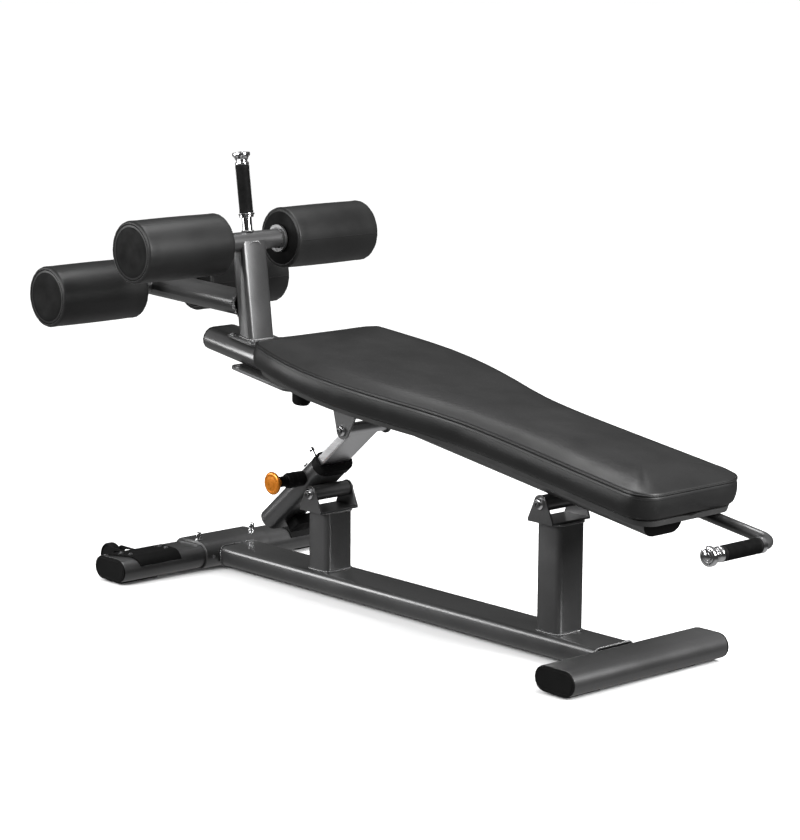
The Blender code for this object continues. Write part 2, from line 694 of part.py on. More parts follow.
def lower_handle():
    """A bar along the pad's underside that turns across the end of the bench to a grip."""
    corner = beam_point(LOW_HANDLE_END, LOW_HANDLE_Y, LOW_HANDLE_N)
    start = beam_point(LOW_HANDLE_START, LOW_HANDLE_Y, LOW_HANDLE_N)
    path = [start]
    centre = corner - BEAM_ALONG * LOW_HANDLE_BEND - Y_AXIS * LOW_HANDLE_BEND
    for k in range(9):
        turn = math.pi / 2 * k / 8
        outwards = BEAM_ALONG * math.sin(turn) + Y_AXIS * math.cos(turn)
        path.append(centre + outwards * LOW_HANDLE_BEND)
    path.append(Vector((corner.x, LOW_GRIP_FAR + 0.004, corner.z)))
    tube = swept("lower_handle_tube", path, LOW_HANDLE_RADIUS, BEAM_UP, "charcoal_paint")
    stem_end = Vector((corner.x, LOW_GRIP_FAR, corner.z)) - Y_AXIS * GRIP_LENGTH
    stem = turned("lower_handle_stem", ((0, 0), (HANDLE_RADIUS, 0), (HANDLE_RADIUS, GRIP_LENGTH + 0.010),
                                        (0, GRIP_LENGTH + 0.010)), stem_end, Y_AXIS, None, 28)
    modify(tube, stem, "UNION")
    grip_and_cap("lower_handle", Vector((corner.x, LOW_GRIP_FAR, corner.z)), -Y_AXIS, 1.3)


def strut_sleeve():
    """The outer sleeve of the strut with its pivot tube, collar, stop, pin housing and end plug."""
    width, thick = SLEEVE_TUBE_WIDTH, SLEEVE_TUBE_THICK
    inner = stadium(*shrink(width, thick, WALL), 11)
    foot = strut_point(SLEEVE_TUBE_END, 0, -SLEEVE_TUBE_DROP)
    head = strut_point(STRUT_MOUTH, 0, -SLEEVE_TUBE_DROP)
    sleeve = prism("strut_sleeve", stadium(width, thick, 11), foot, head, Y_AXIS, "charcoal_paint", inner)
    port = turned("pin_port", ((0, 0), (0.0085, 0), (0.0085, 0.03), (0, 0.03)),
                  strut_point(PULL_PIN_AT, -0.075, -PULL_PIN_DROP), Y_AXIS, None, 20)
    modify(sleeve, port, "DIFFERENCE")
    half_width = CLEVIS_HALF_WIDTH - CLEVIS_PLATE - 0.001
    pivot_tube("sleeve_pivot_tube", STRUT_FOOT_PIVOT, PIVOT_TUBE_RADIUS, half_width, PIN_RADIUS + GAP)
    mouth = rounded(STRUT_BAR_WIDTH + 0.0012, STRUT_BAR_THICK + 0.0012, 0.003, 5)
    lower_right = 3 * len(mouth) // 4
    mouth = [(u, v + SLEEVE_TUBE_DROP) for u, v in mouth[lower_right:] + mouth[:lower_right]]
    collar_foot = strut_point(STRUT_MOUTH - GAP, 0, -SLEEVE_TUBE_DROP)
    collar_head = strut_point(STRUT_MOUTH - COLLAR_LENGTH, 0, -SLEEVE_TUBE_DROP)
    collar = stadium(width + 0.001, thick + 0.004, 10)
    prism("strut_collar", collar, collar_foot, collar_head, Y_AXIS, "black_plastic", mouth)
    low = SLEEVE_TUBE_DROP + thick / 2 + GAP
    stop_at = SLEEVE_TUBE_END - 0.040
    prism("sleeve_stop", rounded(0.060, 0.042, 0.008), strut_point(stop_at, 0.022, -low),
          strut_point(stop_at, 0.022, -low - 0.026), Y_AXIS, "black_rubber")


def pull_pin():
    """The housing on the sleeve's side and the spring-loaded pin that slides in it."""
    face = SLEEVE_TUBE_WIDTH / 2 + GAP
    base = strut_point(PULL_PIN_AT, -face, -PULL_PIN_DROP)
    housing = ((0.0085, 0), (0.0190, 0), (0.0190, 0.046), (0.0160, 0.052), (0.0130, 0.052), (0.0130, 0.056),
               (0.0062, 0.056), (0.0062, 0.051), (0.0110, 0.051), (0.0110, 0.006), (0.0085, 0.006))
    turned("pin_housing", housing, base, -Y_AXIS, "black_plastic", 28, closed=True)
    pin_tip = strut_point(PULL_PIN_AT, -STRUT_BAR_WIDTH / 2 + 0.0045, -PULL_PIN_DROP)
    reach = (base - pin_tip).length
    turned("pull_pin", ((0, 0), (0.0045, 0), (PULL_PIN_RADIUS, 0.002), (PULL_PIN_RADIUS, reach + 0.008),
                        (0.0100, reach + 0.008), (0.0100, reach + 0.012), (0.0058, reach + 0.012),
                        (0.0058, reach + 0.074), (0, reach + 0.074)),
           pin_tip, -Y_AXIS, "brushed_steel", 20)
    knob = ((0, 0), (0.0090, 0), (0.0100, 0.004), (0.0130, 0.009), (0.0240, 0.014), (0.0280, 0.018),
            (0.0285, 0.021), (0.0270, 0.0245), (0.0200, 0.0260), (0.0080, 0.0250), (0, 0.0250))
    knob_base = pin_tip - Y_AXIS * (reach + 0.074 + GAP)
    turned("pull_knob", knob, knob_base, -Y_AXIS, "orange_anodised", 32)


def strut_bar():
    """The sliding bar: a flat tube with a slot for the pull pin and a wide eye at its top."""
    width, thick = STRUT_BAR_WIDTH, STRUT_BAR_THICK
    foot = strut_point(STRUT_BAR_LENGTH, 0, 0)
    inner = rounded(*shrink(width, thick, WALL), 0.0015)
    bar = prism("strut_bar", rounded(width, thick, 0.003), foot, strut_point(0.008, 0, 0), Y_AXIS,
                "brushed_steel", inner)
    eye = turned("strut_eye", ((0, -STRUT_EYE_HALF), (STRUT_EYE_RADIUS, -STRUT_EYE_HALF),
                               (STRUT_EYE_RADIUS, STRUT_EYE_HALF), (0, STRUT_EYE_HALF)),
                 STRUT_TOP_PIVOT, Y_AXIS, None, 28)
    modify(bar, eye, "UNION")
    bore = turned("eye_bore", ((0, -0.08), (STRUT_EYE_BORE, -0.08), (STRUT_EYE_BORE, 0.08), (0, 0.08)),
                  STRUT_TOP_PIVOT, Y_AXIS, None, 28)
    modify(bar, bore, "DIFFERENCE")
    slot_length = STRUT_BAR_LENGTH - PULL_PIN_AT - 0.028
    slot_middle = PULL_PIN_AT + slot_length / 2
    outside = strut_point(slot_middle, -0.05, -PULL_PIN_DROP)
    inside = strut_point(slot_middle, -0.040, -PULL_PIN_DROP)
    slot = prism("pin_slot", stadium(slot_length + 0.014, 0.014, 7), outside, inside, STRUT_ALONG, None)
    modify(bar, slot, "DIFFERENCE")
    slider = shrink(SLEEVE_TUBE_WIDTH, SLEEVE_TUBE_THICK, WALL + 0.0006)
    prism("strut_slider", stadium(*slider, 10), strut_point(STRUT_BAR_LENGTH + 0.018, 0, -SLEEVE_TUBE_DROP),
          strut_point(STRUT_BAR_LENGTH + GAP, 0, -SLEEVE_TUBE_DROP), Y_AXIS, "black_plastic")


def carry(joint, place, *names):
    """An empty on a joint's axis, which the pieces that move with it hang on."""
    hinge = bpy.data.objects.new(joint, None)
    hinge.location = place
    bpy.context.scene.collection.objects.link(hinge)
    for name in names:
        piece = bpy.data.objects[name]
        piece.parent = hinge
        piece.matrix_parent_inverse = Matrix.Translation(-place)


def hang_moving_pieces():
    carry(
        "bench_tilt_axis", HEAD_PIVOT, "bench_beam", "beam_cap_foot", "beam_cap_head", "bench_pivot_tube",
        "seat_plate", "beam_stop", "strut_top_clevis", "strut_top_bolt", "pad_board", "bench_pad",
        "leg_base_plate", "leg_post", "upper_cross_tube", "lower_cross_tube", "foot_arm",
        "upper_handle_tube", "upper_handle_grip", "upper_handle_cap",
        "lower_handle_tube", "lower_handle_grip", "lower_handle_cap",
    )
    carry(
        "sleeve_swing_axis", STRUT_FOOT_PIVOT, "strut_sleeve", "sleeve_pivot_tube", "strut_collar",
        "sleeve_stop", "pin_housing",
    )
    carry("strut_slide_axis", STRUT_TOP_PIVOT, "strut_bar", "strut_slider")


def main():
    clear_scene()
    cross_bar("head_cross_bar", HEAD_BAR_X, HEAD_BAR_LENGTH)
    cross_bar("foot_cross_bar", FOOT_BAR_X, FOOT_BAR_LENGTH)
    floor_pad("head_pad_near", HEAD_BAR_X, -0.236, -0.129)
    floor_pad("head_pad_far", HEAD_BAR_X, 0.081, 0.183)
    floor_pad("foot_pad_near", FOOT_BAR_X, -0.350, -0.228)
    floor_pad("foot_pad_far", FOOT_BAR_X, 0.228, 0.350)
    main_rail()
    foot_bar_saddle()
    wheel_set("near", -1)
    wheel_set("far", 1)
    post_with_clevis("head", HEAD_POST_AT, HEAD_PIVOT)
    post_with_clevis("strut", STRUT_POST_AT, STRUT_FOOT_PIVOT)
    bench_beam()
    under_beam()
    bench_pad()
    leg_post()
    rollers_and_arm()
    upper_handle()
    lower_handle()
    strut_sleeve()
    strut_bar()
    pull_pin()
    hang_moving_pieces()


main()
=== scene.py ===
"""Looks of a decline sit-up bench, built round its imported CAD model. Metres, +Z up."""

import json
import math

import bmesh
import bpy
import numpy as np
from mathutils import Matrix, Vector


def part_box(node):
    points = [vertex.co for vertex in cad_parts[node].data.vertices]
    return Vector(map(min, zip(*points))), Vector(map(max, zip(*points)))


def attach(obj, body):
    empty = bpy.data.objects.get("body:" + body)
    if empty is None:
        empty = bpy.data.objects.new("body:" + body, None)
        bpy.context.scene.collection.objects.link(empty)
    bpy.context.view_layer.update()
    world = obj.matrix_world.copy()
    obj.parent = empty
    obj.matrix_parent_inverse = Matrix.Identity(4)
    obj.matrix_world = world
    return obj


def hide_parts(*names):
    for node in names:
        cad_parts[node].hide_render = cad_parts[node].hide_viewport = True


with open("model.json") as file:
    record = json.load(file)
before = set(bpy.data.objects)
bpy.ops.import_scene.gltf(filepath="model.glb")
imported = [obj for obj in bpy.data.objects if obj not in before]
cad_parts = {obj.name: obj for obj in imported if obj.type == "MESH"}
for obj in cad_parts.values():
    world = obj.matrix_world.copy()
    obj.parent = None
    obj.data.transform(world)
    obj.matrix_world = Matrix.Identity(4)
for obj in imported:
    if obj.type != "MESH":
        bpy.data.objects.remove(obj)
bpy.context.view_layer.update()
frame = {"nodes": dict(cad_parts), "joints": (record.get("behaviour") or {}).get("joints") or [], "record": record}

X_AXIS = Vector((1, 0, 0))
Y_AXIS = Vector((0, 1, 0))
Z_AXIS = Vector((0, 0, 1))

# The camera that sees the bench as it is usually pictured, low and from the head end's near side.
CAMERA_AT = Vector((4.92377, -4.54819, 1.733))
CAMERA_AZIMUTH = math.radians(47.56)
CAMERA_ELEVATION = math.radians(10.61)
CAMERA_ROLL = math.radians(0.45)
CAMERA_LENS = 122.67

# The pad's skin: how far it swells, how its top is rounded, and how its mesh is laid out.
PAD_PUFF_CAP = 0.0040
PAD_PRESSURE = 4.0
PUFF_STEPS = 20
PUFF_EASE = 14
PAD_DOME = 0.0015
DOME_REACH = 0.15
SEAM_LIP = 0.0016
CROWN_POWER = 2.7
CROWN_ROUNDING = 0.058
CROWN_ROUNDING_FOOT = 0.100
FOOT_ROUNDING_REACH = 0.16
FOOT_ROUNDING_FADE = 0.34
CROWN_INSETS = (0.0048, 0.0072, 0.0105, 0.0145, 0.0195, 0.0255, 0.032, 0.039, 0.046)
CORNER_EASE = 1000
TOP_ROWS = 14
MIDDLE_STEP = 0.0065
MIDDLE_FROM_FOOT = 0.15
MIDDLE_FROM_HEAD = 0.13
STITCH_PITCH = 0.0045
STITCH_DROP = 0.0085

# The rollers' skins and the handles' grips.
ROLLER_EDGE = 0.0065
ROLLER_BORE = 0.0160
ROLLER_SWELL = 0.0010
GRIP_LENGTH = 0.121
GRIP_RADIUS = 0.0178
GRIP_BORE = 0.0130
GRIP_RIBS = 40

# Weld beads, and the corners and radii that they follow where the frame's boxes don't give them.
WELD_RADIUS = 0.0025
WELD_STEP = 0.0011
WELD_RIPPLE = 0.24
WELD_PITCH = 0.0046
POST_CORNER = 0.0145
RAIL_CORNER = 0.0125
LEG_DEPTH = 0.050
LEG_WIDTH = 0.079
LEG_CORNER = 0.0105
CROSS_TUBE_RADIUS = 0.0245
BEAM_UNDERSIDE = -0.0295

# The studio: the backdrop's grey, the world's greys from straight down to straight up, and the floor.
BACKDROP = 0.93
SURROUND = (
    (0.0, 0.36), (0.24, 0.28), (0.36, 0.05), (0.52, 0.035), (0.64, 0.09), (0.80, 0.20), (1.0, 0.34),
)
FLOOR_LIGHT = 2.7
FLOOR_REACH = 40.0
FLOOR_TOP = -0.0005

# Soft light panels: name, place, aim, size and power.
PANELS = (
    ("panel_top", (0.2, 0.5, 3.4), (0.0, 0.0, 0.4), (3.4, 0.8), 72.0),
    ("panel_near", (-0.7, -3.6, 2.3), (-0.3, 0.0, 0.5), (2.6, 1.2), 130.0),
    ("panel_left", (-3.6, -3.0, 1.1), (-0.2, 0.0, 0.5), (1.4, 1.8), 62.0),
    ("panel_head", (3.4, 0.8, 2.2), (-0.3, 0.0, 0.6), (1.2, 2.0), 190.0),
)


# -------- places read from the frame


def low(node):
    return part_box(node)[0]


def high(node):
    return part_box(node)[1]


def centre(node):
    return (low(node) + high(node)) / 2


def extent(node):
    return high(node) - low(node)


def joint(name):
    return next(j for j in frame["joints"] if j["name"] == name)


BEAM_ALONG = (centre("beam_cap_head") - centre("beam_cap_foot")).normalized()
BEAM_UP = BEAM_ALONG.cross(Y_AXIS)
BEAM_MIDDLE = (centre("beam_cap_head") + centre("beam_cap_foot")) / 2
STRUT_ALONG = Vector(joint("strut_slide")["axis"])
STRUT_UP = STRUT_ALONG.cross(Y_AXIS)
STRUT_TOP = centre("strut_top_bolt")
UPPER_AXLE = centre("upper_cross_tube")
LOWER_AXLE = centre("lower_cross_tube")
LEG_ALONG = (centre("upper_handle_cap") - UPPER_AXLE).normalized()


def beam_point(along, across, up):
    """A point from the beam's middle: towards the head end, across, and square to it."""
    return BEAM_MIDDLE + BEAM_ALONG * along + Y_AXIS * across + BEAM_UP * up


def beam_coords(point):
    """The same three distances, along, across and up, of a point."""
    offset = point - BEAM_MIDDLE
    return Vector((offset.dot(BEAM_ALONG), offset.y, offset.dot(BEAM_UP)))


def strut_point(down, across, up):
    """A point from the strut's top pivot: down the strut, across, and square to it."""
    return STRUT_TOP - STRUT_ALONG * down + Y_AXIS * across + STRUT_UP * up


def corners_of(node):
    """The points of a CAD node's mesh."""
    return [vertex.co for vertex in frame["nodes"][node].data.vertices]


# -------- materials


def shader_of(name, colour, roughness, metallic, coat=0.0, coat_roughness=0.1):
    """A Principled material; returns it with its tree, its shader and its object coordinates."""
    material = bpy.data.materials.new(name)
    material.use_nodes = True
    tree = material.node_tree
    shader = tree.nodes["Principled BSDF"]
    shader.inputs["Base Color"].default_value = (*colour, 1.0)
    shader.inputs["Roughness"].default_value = roughness
    shader.inputs["Metallic"].default_value = metallic
    shader.inputs["Coat Weight"].default_value = coat
    shader.inputs["Coat Roughness"].default_value = coat_roughness
    place = tree.nodes.new("ShaderNodeTexCoord")
    return material, tree, shader, place.outputs["Object"]


def noise_of(tree, place, scale, detail=3.0, stretch=None, rotation=None):
    """Noise over object coordinates, drawn out along the local X axis where stretch is given."""
    if stretch:
        mapping = tree.nodes.new("ShaderNodeMapping")
        mapping.inputs["Rotation"].default_value = rotation or (0, 0, 0)
        mapping.inputs["Scale"].default_value = stretch
        tree.links.new(place, mapping.inputs["Vector"])
        place = mapping.outputs["Vector"]
    noise = tree.nodes.new("ShaderNodeTexNoise")
    noise.inputs["Scale"].default_value = scale
    noise.inputs["Detail"].default_value = detail
    tree.links.new(place, noise.inputs["Vector"])
    return noise.outputs["Fac"]


def cells_of(tree, place, scale):
    """Rounded cells, as in a leather grain or metallic flake."""
    cells = tree.nodes.new("ShaderNodeTexVoronoi")
    cells.feature = "SMOOTH_F1"
    cells.inputs["Scale"].default_value = scale
    tree.links.new(place, cells.inputs["Vector"])
    return cells


def drive(tree, source, lowest, highest, target, dark=0.3, light=0.7):
    """Runs an input between two values with a texture."""
    ramp = tree.nodes.new("ShaderNodeMapRange")
    ramp.inputs["From Min"].default_value = dark
    ramp.inputs["From Max"].default_value = light
    ramp.inputs["To Min"].default_value = lowest
    ramp.inputs["To Max"].default_value = highest
    tree.links.new(source, ramp.inputs["Value"])
    tree.links.new(ramp.outputs["Result"], target)


def tint(tree, source, shader, dark, light, start=0.3, end=0.7):
    """Varies the base colour between two colours with a texture."""
    ramp = tree.nodes.new("ShaderNodeValToRGB")
    ramp.color_ramp.elements[0].position = start
    ramp.color_ramp.elements[0].color = (*dark, 1.0)
    ramp.color_ramp.elements[1].position = end
    ramp.color_ramp.elements[1].color = (*light, 1.0)
    tree.links.new(source, ramp.inputs["Fac"])
    tree.links.new(ramp.outputs["Color"], shader.inputs["Base Color"])


def bump(tree, shader, source, distance, strength=1.0, before=None):
    node = tree.nodes.new("ShaderNodeBump")
    node.inputs["Distance"].default_value = distance
    node.inputs["Strength"].default_value = strength
    tree.links.new(source, node.inputs["Height"])
    if before:
        tree.links.new(before, node.inputs["Normal"])
    tree.links.new(node.outputs["Normal"], shader.inputs["Normal"])
    return node.outputs["Normal"]


def charcoal_paint():
    """Powder coat with fine metal flake, slightly uneven, under a thin gloss."""
    material, tree, shader, place = shader_of("charcoal_paint", (0.17, 0.17, 0.171), 0.34, 0.78, 0.20, 0.14)
    flake = cells_of(tree, place, 1500.0)
    tint(tree, flake.outputs["Distance"], shader, (0.130, 0.130, 0.131), (0.210, 0.210, 0.211), 0.2, 0.8)
    drive(tree, noise_of(tree, place, 9.0), 0.28, 0.38, shader.inputs["Roughness"])
    bump(tree, shader, noise_of(tree, place, 700.0, 2.0), 0.00006, 0.35)
    return material


def weld_paint():
    """The same coat over a weld bead, glossier where it has pooled."""
    material, tree, shader, place = shader_of("weld_paint", (0.20, 0.20, 0.201), 0.30, 0.70, 0.3, 0.14)
    drive(tree, noise_of(tree, place, 60.0), 0.24, 0.38, shader.inputs["Roughness"])
    bump(tree, shader, noise_of(tree, place, 260.0, 2.0), 0.0003, 0.4)
    return material


def black_vinyl():
    """Upholstery vinyl: small rounded grain, faint broad creasing and a satin face."""
    material, tree, shader, place = shader_of("black_vinyl", (0.016, 0.016, 0.017), 0.40, 0.0)
    shader.inputs["Specular IOR Level"].default_value = 0.38
    tint(tree, noise_of(tree, place, 5.0, 4.0), shader, (0.010, 0.010, 0.010), (0.018, 0.018, 0.018))
    drive(tree, noise_of(tree, place, 14.0, 5.0), 0.36, 0.47, shader.inputs["Roughness"])
    grain = bump(tree, shader, cells_of(tree, place, 620.0).outputs["Distance"], 0.00022, 0.4)
    bump(tree, shader, noise_of(tree, place, 22.0, 3.0), 0.0008, 0.16, grain)
    return material


def dull_vinyl():
    """The plainer, flatter vinyl on the rollers' ends, scuffed in places."""
    material, tree, shader, place = shader_of("dull_vinyl", (0.008, 0.008, 0.008), 0.52, 0.0)
    shader.inputs["Specular IOR Level"].default_value = 0.06
    tint(tree, noise_of(tree, place, 26.0, 6.0), shader, (0.005, 0.005, 0.005), (0.012, 0.012, 0.012))
    drive(tree, noise_of(tree, place, 34.0, 5.0), 0.44, 0.62, shader.inputs["Roughness"])
    bump(tree, shader, cells_of(tree, place, 620.0).outputs["Distance"], 0.0002, 0.35)
    return material


def thread():
    material, tree, shader, place = shader_of("black_thread", (0.02, 0.02, 0.021), 0.6, 0.0)
    bump(tree, shader, noise_of(tree, place, 1400.0, 2.0), 0.0002, 0.5)
    return material


def black_plastic():
    """Moulded plastic with a fine sparked texture."""
    material, tree, shader, place = shader_of("black_plastic", (0.007, 0.007, 0.007), 0.50, 0.0)
    drive(tree, noise_of(tree, place, 30.0, 4.0), 0.40, 0.56, shader.inputs["Roughness"])
    tint(tree, noise_of(tree, place, 12.0), shader, (0.006, 0.006, 0.006), (0.009, 0.009, 0.009))
    shader.inputs["Specular IOR Level"].default_value = 0.12
    bump(tree, shader, noise_of(tree, place, 1300.0, 2.0), 0.00012, 0.35)
    return material


def board_grey():
    """The painted edge and underside of the pad's board."""
    material, tree, shader, place = shader_of("board_grey", (0.045, 0.045, 0.045), 0.5, 0.0)
    tint(tree, noise_of(tree, place, 18.0, 4.0), shader, (0.038, 0.038, 0.038), (0.055, 0.055, 0.055))
    bump(tree, shader, noise_of(tree, place, 900.0, 2.0), 0.0001, 0.4)
    return material


def black_rubber():
    material, tree, shader, place = shader_of("black_rubber", (0.013, 0.013, 0.013), 0.72, 0.0)
    shader.inputs["Specular IOR Level"].default_value = 0.12
    tint(tree, noise_of(tree, place, 40.0, 5.0), shader, (0.005, 0.005, 0.005), (0.010, 0.010, 0.010))
    drive(tree, noise_of(tree, place, 70.0, 4.0), 0.60, 0.82, shader.inputs["Roughness"])
    bump(tree, shader, noise_of(tree, place, 900.0, 3.0), 0.0002, 0.5)
    return material


def chrome():
    material, tree, shader, place = shader_of("chrome", (0.92, 0.92, 0.93), 0.07, 1.0)
    drive(tree, noise_of(tree, place, 55.0, 4.0), 0.05, 0.14, shader.inputs["Roughness"])
    bump(tree, shader, noise_of(tree, place, 120.0, 2.0), 0.00002, 0.2)
    return material


def zinc():
    """Bright zinc plate, duller than chrome."""
    material, tree, shader, place = shader_of("zinc_plate", (0.62, 0.62, 0.63), 0.26, 1.0)
    drive(tree, noise_of(tree, place, 180.0, 4.0), 0.20, 0.36, shader.inputs["Roughness"])
    tint(tree, noise_of(tree, place, 90.0, 3.0), shader, (0.52, 0.52, 0.53), (0.70, 0.70, 0.71))
    return material


def brushed_steel():
    """Steel with fine brushing that runs along the strut."""
    material, tree, shader, place = shader_of("brushed_steel", (0.78, 0.78, 0.79), 0.36, 1.0)
    turn = (0.0, math.atan2(STRUT_ALONG.z, STRUT_ALONG.x), 0.0)
    lines = noise_of(tree, place, 1.0, 2.0, (12.0, 1500.0, 1500.0), turn)
    tint(tree, lines, shader, (0.68, 0.68, 0.69), (0.88, 0.88, 0.89))
    drive(tree, lines, 0.30, 0.44, shader.inputs["Roughness"])
    bump(tree, shader, lines, 0.00003, 0.3)
    return material


def black_oxide():
    """Blackened steel, for socket-head bolts."""
    material, tree, shader, place = shader_of("black_oxide", (0.22, 0.22, 0.22), 0.28, 1.0)
    drive(tree, noise_of(tree, place, 200.0, 3.0), 0.24, 0.40, shader.inputs["Roughness"])
    tint(tree, noise_of(tree, place, 120.0, 3.0), shader, (0.16, 0.16, 0.16), (0.28, 0.28, 0.28))
    return material


def orange_anodised():
    material, tree, shader, place = shader_of("orange_anodised", (0.85, 0.27, 0.02), 0.34, 0.55, 0.2, 0.1)
    tint(tree, noise_of(tree, place, 60.0, 3.0), shader, (0.80, 0.24, 0.015), (0.90, 0.31, 0.03))
    drive(tree, noise_of(tree, place, 160.0, 3.0), 0.24, 0.38, shader.inputs["Roughness"])
    return material


PAINT = charcoal_paint()
WELD = weld_paint()
VINYL = black_vinyl()
DULL_VINYL = dull_vinyl()
THREAD = thread()
PLASTIC = black_plastic()
BOARD = board_grey()
RUBBER = black_rubber()
CHROME = chrome()
ZINC = zinc()
STEEL = brushed_steel()
ORANGE = orange_anodised()
OXIDE = black_oxide()
SLOT_FINISH = {
    "charcoal_paint": PAINT,
    "black_plastic": PLASTIC,
    "black_rubber": RUBBER,
    "black_vinyl": VINYL,
    "chrome": CHROME,
    "brushed_steel": STEEL,
    "orange_knob": ORANGE,
}
RECORD_SLOT = {material: slot for slot, material in SLOT_FINISH.items()}
RECORD_SLOT.update({
    WELD: "charcoal_paint",
    DULL_VINYL: "black_vinyl",
    THREAD: "black_vinyl",
    BOARD: "black_plastic",
    ZINC: "brushed_steel",
    OXIDE: "brushed_steel",
})


# -------- mesh tools


def piece(name, points, faces, material, body, replaces=(), sharp=35.0):
    """A finished piece: a mesh with smooth shading, its material, its body and what it stands for."""
    mesh = bpy.data.meshes.new(name)
    mesh.from_pydata([tuple(p) for p in points], [], faces)
    work = bmesh.new()
    work.from_mesh(mesh)
    bmesh.ops.remove_doubles(work, verts=work.verts, dist=1e-6)
    bmesh.ops.recalc_face_normals(work, faces=work.faces)
    work.to_mesh(mesh)
    work.free()
    mesh.shade_smooth()
    mesh.set_sharp_from_angle(angle=math.radians(sharp))
    mesh.materials.append(material)
    obj = bpy.data.objects.new(name, mesh)
    bpy.context.scene.collection.objects.link(obj)
    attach(obj, body)
    if replaces:
        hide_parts(*replaces)
    return obj


def circle(middle, side, other, radius, count):
    """Points evenly round a circle, in the plane of two directions."""
    points = []
    for k in range(count):
        turn = math.tau * k / count
        points.append(middle + (side * math.cos(turn) + other * math.sin(turn)) * radius)
    return points


def turned(name, profile, base, axis, material, body, replaces=(), steps=48, closed=False):
    """A profile of (radius, height) turned about an axis."""
    side = axis.orthogonal().normalized()
    other = axis.cross(side)
    points = []
    rows = []
    for radius, height in profile:
        middle = base + axis * height
        if radius == 0:
            rows.append([len(points)] * steps)
            points.append(middle)
            continue
        rows.append(list(range(len(points), len(points) + steps)))
        points += circle(middle, side, other, radius, steps)
    faces = []
    following = rows[1:] + rows[:1] if closed else rows[1:]
    for first, second in zip(rows, following):
        for k in range(steps):
            j = (k + 1) % steps
            faces.append(tuple(dict.fromkeys((first[k], first[j], second[j], second[k]))))
    return piece(name, points, faces, material, body, replaces)


def tube(name, path, radius, material, body, closed=False, sides=8, ripple=0.0):
    """A round bead along a path; ripple makes the ridges of a weld run."""
    count = len(path)
    points = []
    travelled = 0.0
    for k, point in enumerate(path):
        ahead = path[(k + 1) % count] if closed or k + 1 < count else point
        behind = path[k - 1] if closed or k else point
        along = (ahead - behind).normalized()
        travelled += (point - path[k - 1]).length if k else 0.0
        here = radius * (1 + ripple * math.sin(math.tau * travelled / WELD_PITCH))
        upright = abs(along.dot(BEAM_UP)) > 0.95
        side = along.orthogonal().normalized() if upright else along.cross(BEAM_UP).normalized()
        points += circle(point, side, along.cross(side), here, sides)
    faces = []
    for k in range(count if closed else count - 1):
        j = (k + 1) % count
        for i in range(sides):
            n = (i + 1) % sides
            faces.append((k * sides + i, k * sides + n, j * sides + n, j * sides + i))
    if not closed:
        faces += [tuple(range(sides)), tuple(range((count - 1) * sides, count * sides))]
    return piece(name, points, faces, material, body, sharp=80.0)


def resample(path, spacing, closed=True):
    """The same line with points an even distance apart."""
    ring = path + path[:1] if closed else path
    lengths = [(b - a).length for a, b in zip(ring, ring[1:])]
    total = sum(lengths)
    count = max(8, round(total / spacing))
    points = []
    segment = 0
    passed = 0.0
    for k in range(count if closed else count + 1):
        target = total * k / count
        while segment < len(lengths) - 1 and passed + lengths[segment] < target:
            passed += lengths[segment]
            segment += 1
        share = (target - passed) / max(lengths[segment], 1e-9)
        points.append(ring[segment].lerp(ring[segment + 1], min(share, 1.0)))
    return points


def rounded_loop(middle, side, other, width, height, radius, steps=6):
    """A rectangle with round corners, in the plane of two directions."""
    points = []
    for quarter, (u, v) in enumerate(((1, 1), (-1, 1), (-1, -1), (1, -1))):
        for k in range(steps):
            turn = math.pi / 2 * (quarter + k / (steps - 1))
            points.append(
                middle
                + side * (u * (width / 2 - radius) + radius * math.cos(turn))
                + other * (v * (height / 2 - radius) + radius * math.sin(turn))
            )
    return points


def weld(name, loop, body, closed=True, radius=WELD_RADIUS):
    """A rippled weld bead along a loop or a line."""
    return tube(name, resample(loop, WELD_STEP, closed), radius, WELD, body, closed, 8, WELD_RIPPLE)


def hexagon_bolt(name, seat, axis, width, body, material=ZINC, washer=True):
    """A washer and a domed hexagon head with a shallow socket."""
    side = axis.orthogonal().normalized()
    other = axis.cross(side)
    points = []
    faces = []
    rows = []

    def ring(radius, height, corners):
        """A ring of twelve points; corners pulls every other one in to the flats of a hexagon."""
        rows.append(list(range(len(points), len(points) + 12)))
        for k in range(12):
            reach = radius * (math.cos(math.pi / 6) if corners and k % 2 else 1.0)
            turn = math.tau * k / 12
            points.append(seat + axis * height + (side * math.cos(turn) + other * math.sin(turn)) * reach)

    base = width * 0.12 if washer else 0.0
    if washer:
        ring(width * 0.82, 0.0, False)
        ring(width * 0.82, base, False)
    ring(width * 0.58, base, True)
    ring(width * 0.58, base + width * 0.30, True)
    ring(width * 0.50, base + width * 0.36, False)
    ring(width * 0.27, base + width * 0.38, True)
    ring(width * 0.25, base + width * 0.22, True)
    for first, second in zip(rows, rows[1:]):
        for k in range(12):
            j = (k + 1) % 12
            faces.append((first[k], first[j], second[j], second[k]))
    faces += [tuple(rows[0]), tuple(rows[-1])]
    return piece(name, points, faces, material, body, sharp=25.0)


# -------- carried CAD parts


def finish_cad_nodes():
    """Materials for every CAD node, with softened edges on the hard ones."""
    for name, node in frame["nodes"].items():
        slot = next(s["material_slot"] for s in frame["record"]["subparts"] if s["node"] == name)
        material = BOARD if name == "pad_board" else SLOT_FINISH[slot]
        node.data.materials.clear()
        node.data.materials.append(material)
        stored = node.data.attributes.get("custom_normal")
        if stored:
            node.data.attributes.remove(stored)
        node.data.shade_smooth()
        joined = node.modifiers.new("join", "WELD")
        joined.merge_threshold = 0.00002
        soft_edge = node.modifiers.new("edge", "BEVEL")
        soft_edge.width = 0.0009
        soft_edge.segments = 2
        soft_edge.limit_method = "ANGLE"
        soft_edge.angle_limit = math.radians(33)
        soft_edge.harden_normals = True


# -------- bench pad


